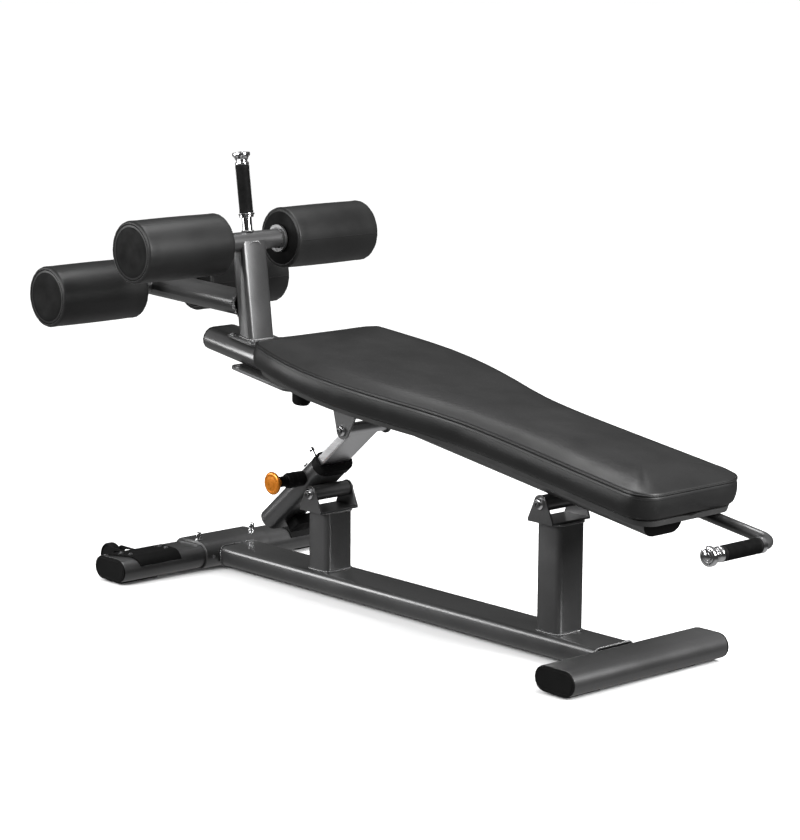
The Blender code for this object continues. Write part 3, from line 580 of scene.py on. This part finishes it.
def pad_rings():
    """The pad's own levels, read from its CAD solid, as lists of (along, across, up) round the outline."""
    points = {tuple(round(c, 5) for c in beam_coords(corner)) for corner in corners_of("bench_pad")}
    levels = {}
    for point in points:
        key = next((k for k in levels if abs(k - point[2]) < 0.0006), point[2])
        levels.setdefault(key, []).append(point)
    rings = []
    for key in sorted(levels):
        ring = levels[key]
        mid = (min(p[0] for p in ring) + max(p[0] for p in ring)) / 2
        rings.append(sorted(ring, key=lambda p: math.atan2(p[1], p[0] - mid)))
    return rings


def pad_outline(ring, spacing=0.0062):
    """A smooth, evenly spaced outline through one level of the pad."""
    line = [Vector((p[0], p[1], 0.0)) for p in ring]
    return smoothed(resample(line, spacing), 6)


def smoothed(ring, times):
    """A ring of points with each one eased towards its neighbours."""
    for _ in range(times):
        ring = [(ring[k - 1] + ring[k] * 2 + ring[(k + 1) % len(ring)]) / 4 for k in range(len(ring))]
    return ring


def inward(outline):
    """Unit directions into the outline, square to it."""
    count = len(outline)
    middle = sum(outline, Vector((0, 0, 0))) / count
    directions = []
    for k in range(count):
        along = (outline[(k + 1) % count] - outline[k - 1]).normalized()
        side = Vector((-along.y, along.x, 0.0))
        directions.append(side if side.dot(middle - outline[k]) > 0 else -side)
    return directions


def pad_levels(bottom, seam):
    """Inset and height of the pad's skin, from its underside over the side to the lip above the seam."""
    side = seam - bottom
    levels = [(0.030, bottom), (0.016, bottom), (0.009, bottom + 0.002), (0.004, bottom + 0.007)]
    levels += [
        (0.0012 - 0.0036 * math.sin(math.pi * t), bottom + 0.010 + (side - 0.014) * t)
        for t in (0.0, 0.12, 0.25, 0.4, 0.55, 0.7, 0.84, 0.94, 1.0)
    ]
    return levels + [(0.0030, seam - SEAM_LIP), (0.0044, seam), (0.0034, seam + SEAM_LIP)]


def crown_height(distance, along, foot, seam, crown):
    """Height of the pad's top at a distance in from its outline; it is rounder at the foot end."""
    share = min(max((along - foot - FOOT_ROUNDING_REACH) / FOOT_ROUNDING_FADE, 0.0), 1.0)
    narrowing = (CROWN_ROUNDING - CROWN_ROUNDING_FOOT) * share * share * (3 - 2 * share)
    inwards = min(distance / (CROWN_ROUNDING_FOOT + narrowing), 1.0)
    rise = crown - seam - SEAM_LIP
    dome = PAD_DOME * min(distance / DOME_REACH, 1.0)
    return seam + SEAM_LIP + rise * (1 - (1 - inwards) ** CROWN_POWER) + dome


def pad_shape(seam_ring, bottom, seam, crown):
    """Points and faces of the pad's skin: rings up the side and over the edge, then rows to its middle."""
    outline = pad_outline(seam_ring)
    directions = inward(outline)
    count = len(outline)
    foot = min(p.x for p in outline)
    plan = np.array([(p.x, p.y) for p in outline])
    around = list(zip(outline, directions))
    rows = []
    for inset, up in pad_levels(bottom, seam):
        rows.append([beam_point(p.x + d.x * inset, p.y + d.y * inset, up) for p, d in around])

    def over(spots):
        """One ring of points laid on the crown."""
        ring = []
        for spot in spots:
            distance = float(np.hypot(*(plan - (spot.x, spot.y)).T).min())
            ring.append(beam_point(spot.x, spot.y, crown_height(distance, spot.x, foot, seam, crown)))
        rows.append(ring)

    for inset in CROWN_INSETS:
        edge = smoothed([p + d * inset for p, d in around], round(inset * CORNER_EASE))
        over(edge)
    lowest = min(p.x for p in edge) + MIDDLE_FROM_FOOT
    highest = max(p.x for p in edge) - MIDDLE_FROM_HEAD
    for row in range(1, TOP_ROWS + 1):
        t = row / TOP_ROWS
        spots = []
        for p in edge:
            middle = round(min(max(p.x, lowest), highest) / MIDDLE_STEP) * MIDDLE_STEP
            spots.append(Vector((p.x + (middle - p.x) * t, p.y * (1 - t), 0.0)))
        over(spots)
    under = [beam_point(round(p.x / MIDDLE_STEP) * MIDDLE_STEP, 0.0, bottom) for p in outline]
    rows = [under] + rows
    faces = []
    for row in range(len(rows) - 1):
        for k in range(count):
            j = (k + 1) % count
            faces.append((row * count + k, row * count + j, (row + 1) * count + j, (row + 1) * count + k))
    return [point for row in rows for point in row], faces


def puff(obj, cap, pressure, held):
    """Swells a piece by cloth simulation, holding some points and capping how far the others move."""
    rest = np.array([v.co for v in obj.data.vertices])
    group = obj.vertex_groups.new(name="held")
    group.add([k for k, co in enumerate(rest) if held(Vector(co))], 1.0, "REPLACE")
    cloth = obj.modifiers.new("cloth", "CLOTH")
    cloth.settings.quality = 4
    cloth.settings.mass = 0.3
    cloth.settings.tension_stiffness = 30
    cloth.settings.compression_stiffness = 20
    cloth.settings.bending_stiffness = 2.0
    cloth.settings.use_pressure = True
    cloth.settings.uniform_pressure_force = pressure
    cloth.settings.vertex_group_mass = "held"
    cloth.settings.effector_weights.gravity = 0.0
    cloth.collision_settings.use_collision = False
    cloth.point_cache.frame_start = 1
    cloth.point_cache.frame_end = PUFF_STEPS
    scene = bpy.context.scene
    for step in range(1, PUFF_STEPS + 1):
        scene.frame_set(step)
    graph = bpy.context.evaluated_depsgraph_get()
    swollen = obj.evaluated_get(graph).to_mesh()
    moved = np.array([v.co for v in swollen.vertices]) - rest
    obj.evaluated_get(graph).to_mesh_clear()
    reach = np.linalg.norm(moved, axis=1, keepdims=True)
    moved *= np.minimum(1.0, cap / np.maximum(reach, 1e-9))
    obj.modifiers.remove(cloth)
    scene.frame_set(1)
    moved = eased(obj, moved, PUFF_EASE)
    obj.data.vertices.foreach_set("co", (rest + moved).astype(np.float32).ravel())
    obj.data.update()


def eased(obj, moved, times):
    """Spreads each point's movement over its neighbours, so that the skin swells without fine wrinkles."""
    edges = np.array([tuple(e.vertices) for e in obj.data.edges])
    joined = np.bincount(edges.ravel(), minlength=len(moved)).reshape(-1, 1)
    for _ in range(times):
        around = np.zeros_like(moved)
        np.add.at(around, edges[:, 0], moved[edges[:, 1]])
        np.add.at(around, edges[:, 1], moved[edges[:, 0]])
        moved = (moved + around) / (1 + joined)
    return moved


def bench_pad():
    """The pad: a puffed skin with a seam groove, piping in the groove and a stitch line under it."""
    rings = pad_rings()
    seam_ring = max(rings[3:], key=lambda ring: max(p[0] for p in ring) - min(p[0] for p in ring))
    bottom = rings[0][0][2]
    seam = max(r[0][2] for r in rings if max(p[0] for p in r) > max(p[0] for p in seam_ring) - 1e-4)
    crown = rings[-1][0][2]
    points, faces = pad_shape(seam_ring, bottom, seam, crown)
    skin = piece("pad_skin", points, faces, VINYL, "bench", ("bench_pad",), sharp=70.0)
    puff(skin, PAD_PUFF_CAP, PAD_PRESSURE, lambda co: on_seam_or_below(co, bottom, seam))
    finer = skin.modifiers.new("finer", "SUBSURF")
    finer.levels = 1
    finer.render_levels = 1
    outline = pad_outline(seam_ring, 0.004)
    directions = inward(outline)
    piping = [beam_point(p.x + d.x * 0.0022, p.y + d.y * 0.0022, seam) for p, d in zip(outline, directions)]
    tube("pad_piping", piping, 0.0019, VINYL, "bench", True, 8)
    stitches(outline, seam - STITCH_DROP)


def on_seam_or_below(co, bottom, seam):
    up = beam_coords(co).z
    return up < bottom + 0.004 or abs(up - seam) < 0.0022


def stitches(outline, up):
    """A line of short stitches on the pad's side, under the seam."""
    points = []
    faces = []
    even = resample(outline, STITCH_PITCH)
    corners = [
        (u * half, v * tall, out)
        for half, tall, out in ((0.0015, 0.00028, 0.0), (0.0010, 0.0002, 0.0006))
        for u, v in ((-1, -1), (1, -1), (1, 1), (-1, 1))
    ]
    box = ((0, 1, 2, 3), (4, 7, 6, 5), (0, 4, 5, 1), (1, 5, 6, 2), (2, 6, 7, 3), (3, 7, 4, 0))
    for k, (p, d) in enumerate(zip(even, inward(even))):
        ahead = (even[(k + 1) % len(even)] - even[k - 1]).normalized()
        start = len(points)
        for along, height, out in corners:
            place = p + ahead * along - d * (out + 0.0011)
            points.append(beam_point(place.x, place.y, up + height))
        faces += [tuple(start + i for i in face) for face in box]
    piece("pad_stitches", points, faces, THREAD, "bench")


def board_bolts():
    """Bolts that hold the board to the beam, seen from below."""
    middle = beam_coords(centre("pad_board")).x
    underside = min(beam_coords(corner).z for corner in corners_of("pad_board"))
    spacing = (high("pad_board").x - low("pad_board").x) * 0.36
    for k, share in enumerate((-1.0, 0.0, 1.0)):
        for side, across in (("near", -0.072), ("far", 0.072)):
            seat = beam_point(middle + share * spacing, across, underside)
            hexagon_bolt(f"board_bolt_{side}_{k}", seat, -BEAM_UP, 0.013, "bench")


# -------- rollers


def roller_profile(start, end, radius):
    """A roller's outline, from its bore over its two round edges to the middle of its outer end."""
    rim = radius - ROLLER_EDGE
    turns = [math.pi / 2 * k / 7 for k in range(8)]
    profile = [(ROLLER_BORE, start + 0.0020), (rim - 0.004, start + 0.0014), (rim - 0.0015, start + 0.0014)]
    for turn in turns:
        up = start + ROLLER_EDGE - ROLLER_EDGE * math.cos(turn)
        profile.append((rim + ROLLER_EDGE * math.sin(turn), up))
    span = end - start - 2 * ROLLER_EDGE
    for k in range(1, 16):
        swell = ROLLER_SWELL * math.sin(math.pi * k / 16)
        profile.append((radius - 0.0008 + swell, start + ROLLER_EDGE + span * k / 16))
    for turn in turns:
        up = end - ROLLER_EDGE + ROLLER_EDGE * math.sin(turn)
        profile.append((rim + ROLLER_EDGE * math.cos(turn), up))
    profile += [(rim - 0.0015, end - 0.0016), (rim - 0.004, end - 0.0004)]
    return profile + [(radius * 0.4, end - 0.0009), (0, end - 0.0012)]


def roller(level, side):
    """A foam roller in vinyl: rounded ends with a sewn rim, a flat disc, and a lengthwise seam."""
    name = f"{level}_roller_{side}"
    box_low, box_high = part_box(name)
    axis = Y_AXIS if side == "far" else -Y_AXIS
    start = min(abs(box_low.y), abs(box_high.y))
    end = max(abs(box_low.y), abs(box_high.y))
    middle = Vector((centre(name).x, 0, centre(name).z))
    radius = extent(name).z / 2
    profile = roller_profile(start, end, radius)
    skin = turned(name + "_skin", profile, middle, axis, VINYL, name, (name,), 72)
    crease(skin, middle, axis, start, end, radius)
    disc_radius = radius - ROLLER_EDGE - 0.0010
    disc = [(disc_radius, -0.0008), (disc_radius, 0.0), (disc_radius - 0.0012, 0.0006)]
    disc += [(disc_radius * 0.7, 0.0010), (0, 0.0012)]
    turned(name + "_end", disc, middle + axis * (end - 0.0012), axis, DULL_VINYL, name, (), 72)
    inner = [(ROLLER_BORE, 0.0016), (0.030, 0.0010), (disc_radius - 0.004, 0.0004)]
    inner += [(disc_radius - 0.003, 0.0), (disc_radius - 0.003, -0.0010), (ROLLER_BORE, -0.0010)]
    seat = middle + axis * (start + 0.0010)
    turned(name + "_inner_end", inner, seat, -axis, DULL_VINYL, name, (), 72, closed=True)
    rim = circle(middle + axis * (end - 0.0008), X_AXIS, Z_AXIS, radius - ROLLER_EDGE - 0.0005, 96)
    tube(name + "_rim", rim, 0.0011, VINYL, name, True, 6)
    span = end - start - 2 * ROLLER_EDGE
    out = X_AXIS if side == "far" else -X_AXIS
    edge = start + ROLLER_EDGE
    seam = [middle + axis * (edge + span * k / 60) + out * (radius - 0.0002) for k in range(61)]
    tube(name + "_seam", seam, 0.0010, VINYL, name, False, 6)


def crease(skin, middle, axis, start, end, radius):
    """Slight waves where the vinyl gathers at a roller's two ends."""
    for vertex in skin.data.vertices:
        offset = vertex.co - middle
        along = offset.dot(axis)
        out = offset - axis * along
        if out.length < radius * 0.8:
            continue
        turn = math.atan2(out.z, out.x)
        near_end = max(0.0, 1 - min(along - start, end - along) / 0.045)
        wave = math.sin(turn * 17 + 1.3 * math.sin(turn * 5)) + 0.6 * math.sin(turn * 29 + 2.0)
        vertex.co -= out.normalized() * (0.00035 * near_end * (1 + wave))


# -------- handles and knob


def handle_of(level):
    """The middle of a handle's grip, and the direction from there to its cap."""
    grip = centre(level + "_handle_grip")
    along = (centre(level + "_handle_cap") - grip).normalized()
    return grip, along


def grip_and_cap(level, stretch):
    """A ribbed rubber grip and a turned chrome cap with rings on its face, drawn out by stretch."""
    grip, along = handle_of(level)
    start = grip - along * GRIP_LENGTH / 2
    outer = GRIP_RADIUS
    span = GRIP_LENGTH - 0.014
    profile = [(GRIP_BORE, 0), (outer - 0.0015, 0), (outer, 0.0012), (outer, 0.006)]
    for k in range(GRIP_RIBS):
        base = 0.007 + span * k / GRIP_RIBS
        for radius, share in ((outer - 0.0011, 0), (outer - 0.0011, 0.3), (outer, 0.42), (outer, 0.9)):
            profile.append((radius, base + span / GRIP_RIBS * share))
    profile += [(outer, GRIP_LENGTH - 0.006), (outer, GRIP_LENGTH - 0.0012)]
    profile += [(outer - 0.0015, GRIP_LENGTH), (GRIP_BORE, GRIP_LENGTH)]
    ribbed = (level + "_handle_grip",)
    turned(level + "_grip_ribbed", profile, start, along, RUBBER, "bench", ribbed, 48, closed=True)
    cap = [(0, 0), (0.0170, 0), (0.0176, 0.0010)]
    for radius, height in (
        (0.0176, 0.0050), (0.0168, 0.0062), (0.0146, 0.0074), (0.0142, 0.0100), (0.0146, 0.0122),
        (0.0160, 0.0134), (0.0162, 0.0150), (0.0176, 0.0180), (0.0205, 0.0218), (0.0222, 0.0234),
        (0.0224, 0.0250), (0.0224, 0.0290), (0.0218, 0.0306), (0.0200, 0.0316), (0.0178, 0.0318),
        (0.0166, 0.0310), (0.0150, 0.0310), (0.0142, 0.0318), (0.0118, 0.0322), (0.0108, 0.0314),
        (0.0092, 0.0314), (0.0084, 0.0326), (0.0050, 0.0334), (0, 0.0336),
    ):
        cap.append((radius, height * stretch))
    base = start + along * (GRIP_LENGTH + 0.0003)
    turned(level + "_cap_turned", cap, base, along, CHROME, "bench", (level + "_handle_cap",), 72)


def handle_rings():
    """Chrome rings between the handles' tubes and grips, and the weld at the upper handle's foot."""
    grip, along = handle_of("lower")
    start = grip - along * (extent("lower_handle_grip").y / 2)
    ring = [(0.0142, -0.013), (0.0178, -0.013), (0.0184, -0.0122), (0.0184, -0.0085), (0.0172, -0.0075),
            (0.0172, -0.0060), (0.0184, -0.0050), (0.0184, -0.0012), (0.0178, -0.0004), (0.0142, -0.0004)]
    turned("lower_handle_ring", ring, start, along, CHROME, "bench", (), 48, closed=True)
    top, top_along = handle_of("upper")
    start = top - top_along * (GRIP_LENGTH / 2)
    ring = [(0.0132, -0.0100), (0.0170, -0.0100), (0.0178, -0.0090), (0.0162, -0.0072), (0.0162, -0.0058),
            (0.0196, -0.0044), (0.0202, -0.0034), (0.0202, -0.0010), (0.0194, -0.0002), (0.0132, -0.0002)]
    turned("upper_handle_ring", ring, start, top_along, CHROME, "bench", (), 48, closed=True)
    foot = UPPER_AXLE + LEG_ALONG * 0.0245
    loop = circle(foot, LEG_ALONG.cross(Y_AXIS), Y_AXIS, 0.0135, 40)
    weld("upper_handle_weld", loop, "bench", radius=0.0024)


def pull_knob():
    """The orange mushroom knob, with a black shroud back over the pin to the housing."""
    back = high("pull_knob").y
    base = Vector((centre("pull_knob").x, back, centre("pull_knob").z))
    axis = -Y_AXIS
    neck = low("pin_housing").y - back
    shroud = [(0, 0.0006 - neck), (0.0126, 0.0006 - neck), (0.0132, 0.0014 - neck), (0.0132, -0.0032),
              (0.0122, -0.0022), (0, -0.0022)]
    turned("pull_knob_shroud", shroud, base, axis, PLASTIC, "pin", (), 40)
    profile = [(0, -0.0018), (0.0098, -0.0018), (0.0104, 0.0004), (0.0100, 0.0040), (0.0106, 0.0062),
               (0.0128, 0.0086), (0.0166, 0.0108), (0.0216, 0.0128), (0.0252, 0.0146), (0.0274, 0.0166),
               (0.0284, 0.0188),
               (0.0285, 0.0206), (0.0280, 0.0222), (0.0268, 0.0236), (0.0244, 0.0247), (0.0222, 0.0250),
               (0.0210, 0.0246), (0.0160, 0.0252), (0.0100, 0.0256), (0, 0.0258)]
    turned("pull_knob_turned", profile, base, axis, ORANGE, "pin", ("pull_knob",), 64)


def pin_housing_details():
    """Rings turned in the housing of the pull pin."""
    y_out = low("pin_housing").y
    middle = Vector((centre("pin_housing").x, y_out, centre("pin_housing").z))
    for k, offset in enumerate((0.014, 0.030)):
        ring = circle(middle + Y_AXIS * offset, X_AXIS, Z_AXIS, 0.0190, 64)
        tube(f"housing_ring_{k}", ring, 0.0008, PLASTIC, "sleeve", True, 6)


# -------- welds and fasteners


def frame_welds():
    """Weld beads where the posts, rail, cross bar and saddle meet."""
    for side in ("head", "strut"):
        post = side + "_post"
        size = extent(post)
        for end, z in (("foot", low(post).z), ("top", high(post).z)):
            middle = Vector((centre(post).x, 0, z + (0.0012 if end == "foot" else -0.0012)))
            loop = rounded_loop(middle, X_AXIS, Y_AXIS, size.x + 0.001, size.y + 0.001, POST_CORNER)
            weld(f"{post}_{end}_weld", loop, "frame")
    size = extent("main_rail")
    for end, x in (("foot", low("main_rail").x + 0.0012), ("head", high("main_rail").x - 0.0012)):
        middle = Vector((x, 0, centre("main_rail").z))
        loop = rounded_loop(middle, Y_AXIS, Z_AXIS, size.y + 0.001, size.z + 0.001, RAIL_CORNER)
        weld(f"main_rail_{end}_weld", loop, "frame", radius=0.0024)


def leg_plate():
    """Where the leg's base plate is along the beam, and how high its top is."""
    top = max(beam_coords(corner).z for corner in corners_of("leg_base_plate"))
    return beam_coords(centre("leg_base_plate")).x, top


def bench_welds():
    """Weld beads at the leg's foot, the bench's pivot and the upper cross tube."""
    base, plate_top = leg_plate()
    slant = BEAM_ALONG * (LEG_DEPTH / abs(LEG_ALONG.cross(Y_AXIS).dot(BEAM_ALONG)))
    middle = beam_point(base, 0, plate_top + 0.0012)
    loop = rounded_loop(middle, slant.normalized(), Y_AXIS, slant.length + 0.001, LEG_WIDTH, LEG_CORNER)
    weld("leg_post_weld", loop, "bench")
    pivot = beam_coords(centre("bench_pivot_tube"))
    for end, offset in (("foot", -0.0115), ("head", 0.0115)):
        run = [beam_point(pivot.x + offset, y, BEAM_UNDERSIDE - 0.0016) for y in (-0.028, 0.028)]
        weld("pivot_weld_" + end, run, "bench", closed=False, radius=0.0030)
    for side, y in (("near", -0.0925), ("far", 0.0925)):
        ring = circle(UPPER_AXLE + Y_AXIS * y, X_AXIS, Z_AXIS, CROSS_TUBE_RADIUS, 60)
        weld("cross_tube_weld_" + side, ring, "bench", radius=0.0022)


def leg_top_weld():
    """The saddle-shaped bead where the leg's top meets the upper cross tube."""
    square = LEG_ALONG.cross(Y_AXIS)
    saddle = []
    for k in range(72):
        turn = math.tau * k / 72
        out = square * math.cos(turn) * 0.0255 + Y_AXIS * math.sin(turn) * 0.0395
        reach = min(abs(out.dot(square)), CROSS_TUBE_RADIUS)
        drop = math.sqrt(max(0.0, 0.0246**2 - reach**2))
        saddle.append(UPPER_AXLE + out - LEG_ALONG * (drop + 0.0004))
    weld("leg_top_weld", saddle, "bench", radius=0.0024)


def arm_root_weld():
    """The bead where the foot arm meets the leg, laid round the arm's own end."""
    square = LEG_ALONG.cross(Y_AXIS)
    if (UPPER_AXLE - LOWER_AXLE).dot(square) < 0:
        square = -square
    corners = corners_of("foot_arm")
    reach = max(corner.dot(square) for corner in corners)
    end = [corner for corner in corners if reach - corner.dot(square) < 0.0015]
    middle = sum(end, Vector((0, 0, 0))) / len(end)
    widest = max((corner - middle).length for corner in end)
    spots = {}
    for corner in end:
        offset = corner - middle
        turn = round(math.atan2(offset.dot(LEG_ALONG), offset.y), 2)
        if turn not in spots or offset.length > (spots[turn] - middle).length:
            spots[turn] = corner.copy()
    outer = [spots[turn] for turn in sorted(spots) if (spots[turn] - middle).length > 0.45 * widest]
    weld("arm_root_weld", outer, "bench", radius=0.0042)


def bench_bolts():
    """Bolts on the leg's base plate and on the seat plate."""
    base, top = leg_plate()
    places = ((-0.041, -0.043), (-0.041, 0.043), (0.041, -0.047), (0.041, 0.047))
    for k, (along, across) in enumerate(places):
        seat = beam_point(base + along, across, top)
        hexagon_bolt(f"leg_bolt_{k}", seat, BEAM_UP, 0.011, "bench")
    seat_top = max(beam_coords(corner).z for corner in corners_of("seat_plate"))
    seat_foot = min(beam_coords(corner).x for corner in corners_of("seat_plate"))
    for side, across in (("near", -0.068), ("far", 0.068)):
        seat = beam_point(seat_foot + 0.024, across, seat_top)
        hexagon_bolt("seat_bolt_" + side, seat, BEAM_UP, 0.010, "bench")


def frame_bolts():
    """Screws on the wheel brackets and on the saddle's face."""
    for side, sign in (("near", -1), ("far", 1)):
        bracket = "wheel_bracket_" + side
        top = high(bracket).z
        bar_x = centre("foot_cross_bar").x
        for k, (x, y) in enumerate(((-0.006, 0.200), (0.020, 0.200), (-0.006, 0.322), (0.020, 0.312))):
            seat = Vector((bar_x + x, sign * y, top))
            hexagon_bolt(f"bracket_screw_{side}_{k}", seat, Z_AXIS, 0.0075, "frame")
    face_x = high("foot_bar_saddle").x
    for side, y in (("near", -0.083), ("far", 0.083)):
        seat = Vector((face_x - 0.0002, y, centre("foot_bar_saddle").z))
        hexagon_bolt("saddle_screw_" + side, seat, X_AXIS, 0.008, "frame", washer=False)


def pivot_bolt_heads():
    """Socketed hexagon heads over both ends of every pivot bolt."""
    bodies = {"head_pivot_bolt": "frame", "strut_pivot_bolt": "frame", "strut_top_bolt": "bench"}
    for name, body in bodies.items():
        middle = centre(name)
        half = extent(name).y / 2
        for side, sign in (("near", -1), ("far", 1)):
            seat = Vector((middle.x, sign * (half - 0.0016), middle.z))
            hexagon_bolt(f"{name}_{side}_head", seat, Y_AXIS * sign, 0.0155, body, OXIDE, False)


def sleeve_fasteners():
    """The clamp bolt and the small screw on the strut sleeve's upper face."""
    offsets = [corner - STRUT_TOP for corner in corners_of("strut_sleeve")]
    mouth = max(offset.dot(STRUT_ALONG) for offset in offsets)
    face = max(offset.dot(STRUT_UP) for offset in offsets)
    seat = strut_point(-mouth + 0.012, -0.020, face - 0.0006)
    bolt = [(0, 0), (0.0095, 0), (0.0095, 0.0016), (0.0040, 0.0018), (0.0040, 0.0240), (0.0058, 0.0244)]
    bolt += [(0.0062, 0.0252), (0.0062, 0.0315), (0.0054, 0.0330), (0.0030, 0.0330), (0.0028, 0.0310)]
    bolt.append((0, 0.0310))
    turned("sleeve_clamp_bolt", bolt, seat, STRUT_UP, CHROME, "sleeve", (), 32)
    seat = strut_point(-mouth + 0.030, -0.044, face - 0.0042)
    hexagon_bolt("sleeve_screw", seat, (STRUT_UP - Y_AXIS * 0.5).normalized(), 0.0095, "sleeve")


def roller_bushes():
    """Flanges on the upper cross tube's ends and bush rings on the lower one's, with a washer on each."""
    places = (("upper", UPPER_AXLE, 0.0345, PAINT), ("lower", LOWER_AXLE, 0.0215, PLASTIC))
    for level, axle, radius, material in places:
        start = min(abs(low(level + "_roller_near").y), abs(high(level + "_roller_near").y))
        ring = [(0.0160, 0), (radius - 0.0012, 0), (radius, 0.0010), (radius, 0.0034)]
        ring += [(radius - 0.001, 0.0044), (0.0160, 0.0044)]
        washer = [(0.0158, 0), (radius * 0.86, 0), (radius * 0.88, 0.0004)]
        washer += [(radius * 0.86, 0.0014), (0.0158, 0.0014)]
        for side, sign in (("near", -1), ("far", 1)):
            away = Y_AXIS * sign
            name = f"{level}_bush_{side}"
            bush_seat = axle + away * (start - 0.0072)
            turned(name, ring, bush_seat, away, material, "bench", (), 40, closed=True)
            washer_seat = axle + away * (start - 0.0026)
            turned(name + "_washer", washer, washer_seat, away, ZINC, "bench", (), 40, closed=True)


def cap_details():
    """A shallow raised rim on each plastic end cap of the two cross bars."""
    for bar in ("head", "foot"):
        for side, axis in (("near", -Y_AXIS), ("far", Y_AXIS)):
            name = f"{bar}_cross_bar_cap_{side}"
            size = extent(name)
            middle = centre(name) + axis * (size.y / 2 - 0.0001)
            wide, tall = size.x - 0.012, size.z - 0.012
            loop = rounded_loop(middle, X_AXIS, Z_AXIS, wide, tall, tall / 2 - 1e-5, 14)
            tube(name + "_rim", resample(loop, 0.003), 0.0008, PLASTIC, "frame", True, 6)


# -------- studio


def studio():
    """A white floor with a light of its own, soft panels for the bench, and the surround."""
    floor_mesh = bpy.data.meshes.new("floor")
    signs = ((-1, -1), (1, -1), (1, 1), (-1, 1))
    corners = [(u * FLOOR_REACH, v * FLOOR_REACH, FLOOR_TOP) for u, v in signs]
    floor_mesh.from_pydata(corners, [], [(0, 1, 2, 3)])
    floor = bpy.data.objects.new("floor", floor_mesh)
    bpy.context.scene.collection.objects.link(floor)
    paper, tree, shader, place = shader_of("floor_paper", (0.93, 0.93, 0.93), 0.9, 0.0)
    tint(tree, noise_of(tree, place, 0.6), shader, (0.925, 0.925, 0.925), (0.935, 0.935, 0.935))
    shader.inputs["Specular IOR Level"].default_value = 0.0
    floor_mesh.materials.append(paper)
    floor.visible_glossy = False
    floor.visible_diffuse = False
    surround()
    bpy.context.scene.view_settings.view_transform = "Standard"
    floor_light = lamp("floor_light", "SUN", (0, 0, 5), (0, 0, 0), FLOOR_LIGHT)
    lit = bpy.data.collections.new("floor_only")
    lit.objects.link(floor)
    floor_light.light_linking.receiver_collection = lit
    for name, place, aim, size, power in PANELS:
        lamp(name, "AREA", place, aim, power, size)


def surround():
    """The world: white to the camera, and for light and reflections a gradient, darkest at mid height."""
    world = bpy.data.worlds.new("studio")
    world.use_nodes = True
    tree = world.node_tree
    background = tree.nodes["Background"]
    place = tree.nodes.new("ShaderNodeTexCoord")
    split = tree.nodes.new("ShaderNodeSeparateXYZ")
    tree.links.new(place.outputs["Generated"], split.inputs[0])
    height = tree.nodes.new("ShaderNodeMapRange")
    height.inputs["From Min"].default_value = -1.0
    tree.links.new(split.outputs["Z"], height.inputs["Value"])
    ramp = tree.nodes.new("ShaderNodeValToRGB")
    while len(ramp.color_ramp.elements) < len(SURROUND):
        ramp.color_ramp.elements.new(0.5)
    for element, (position, level) in zip(ramp.color_ramp.elements, SURROUND):
        element.position = position
        element.color = (level, level, level, 1)
    tree.links.new(height.outputs["Result"], ramp.inputs["Fac"])
    seen = tree.nodes.new("ShaderNodeLightPath")
    mix = tree.nodes.new("ShaderNodeMix")
    mix.data_type = "RGBA"
    tree.links.new(seen.outputs["Is Camera Ray"], mix.inputs["Factor"])
    tree.links.new(ramp.outputs["Color"], mix.inputs["A"])
    mix.inputs["B"].default_value = (BACKDROP, BACKDROP, BACKDROP, 1)
    tree.links.new(mix.outputs["Result"], background.inputs["Color"])
    bpy.context.scene.world = world


def lamp(name, kind, place, aim, power, size=None):
    """A sun or a rectangular panel, turned to its aim."""
    data = bpy.data.lights.new(name, kind)
    data.energy = power
    if kind == "SUN":
        data.angle = math.radians(120)
    if size:
        data.shape = "RECTANGLE"
        data.size, data.size_y = size
    obj = bpy.data.objects.new(name, data)
    obj.location = place
    obj.rotation_euler = (Vector(aim) - Vector(place)).to_track_quat("-Z", "Y").to_euler()
    bpy.context.scene.collection.objects.link(obj)
    return obj


def camera():
    """The camera, from its azimuth, elevation and slight roll."""
    sine, cosine = math.sin(CAMERA_AZIMUTH), math.cos(CAMERA_AZIMUTH)
    level = math.cos(CAMERA_ELEVATION)
    right = Vector((cosine, sine, 0))
    back = Vector((sine * level, -cosine * level, math.sin(CAMERA_ELEVATION)))
    up = back.cross(right)
    turned_right = right * math.cos(CAMERA_ROLL) + up * math.sin(CAMERA_ROLL)
    turned_up = up * math.cos(CAMERA_ROLL) - right * math.sin(CAMERA_ROLL)
    data = bpy.data.cameras.new("camera")
    data.lens = CAMERA_LENS
    data.sensor_width = 36.0
    data.clip_end = 100.0
    obj = bpy.data.objects.new("camera", data)
    rotation = Matrix((turned_right, turned_up, back)).transposed().to_4x4()
    obj.matrix_world = Matrix.Translation(CAMERA_AT) @ rotation
    bpy.context.scene.collection.objects.link(obj)
    bpy.context.scene.camera = obj


camera()
studio()
finish_cad_nodes()
bench_pad()
board_bolts()
for level in ("upper", "lower"):
    for side in ("near", "far"):
        roller(level, side)
grip_and_cap("upper", 1.0)
grip_and_cap("lower", 1.3)
handle_rings()
pull_knob()
pin_housing_details()
frame_welds()
bench_welds()
leg_top_weld()
arm_root_weld()
bench_bolts()
frame_bolts()
pivot_bolt_heads()
sleeve_fasteners()
roller_bushes()
cap_details()
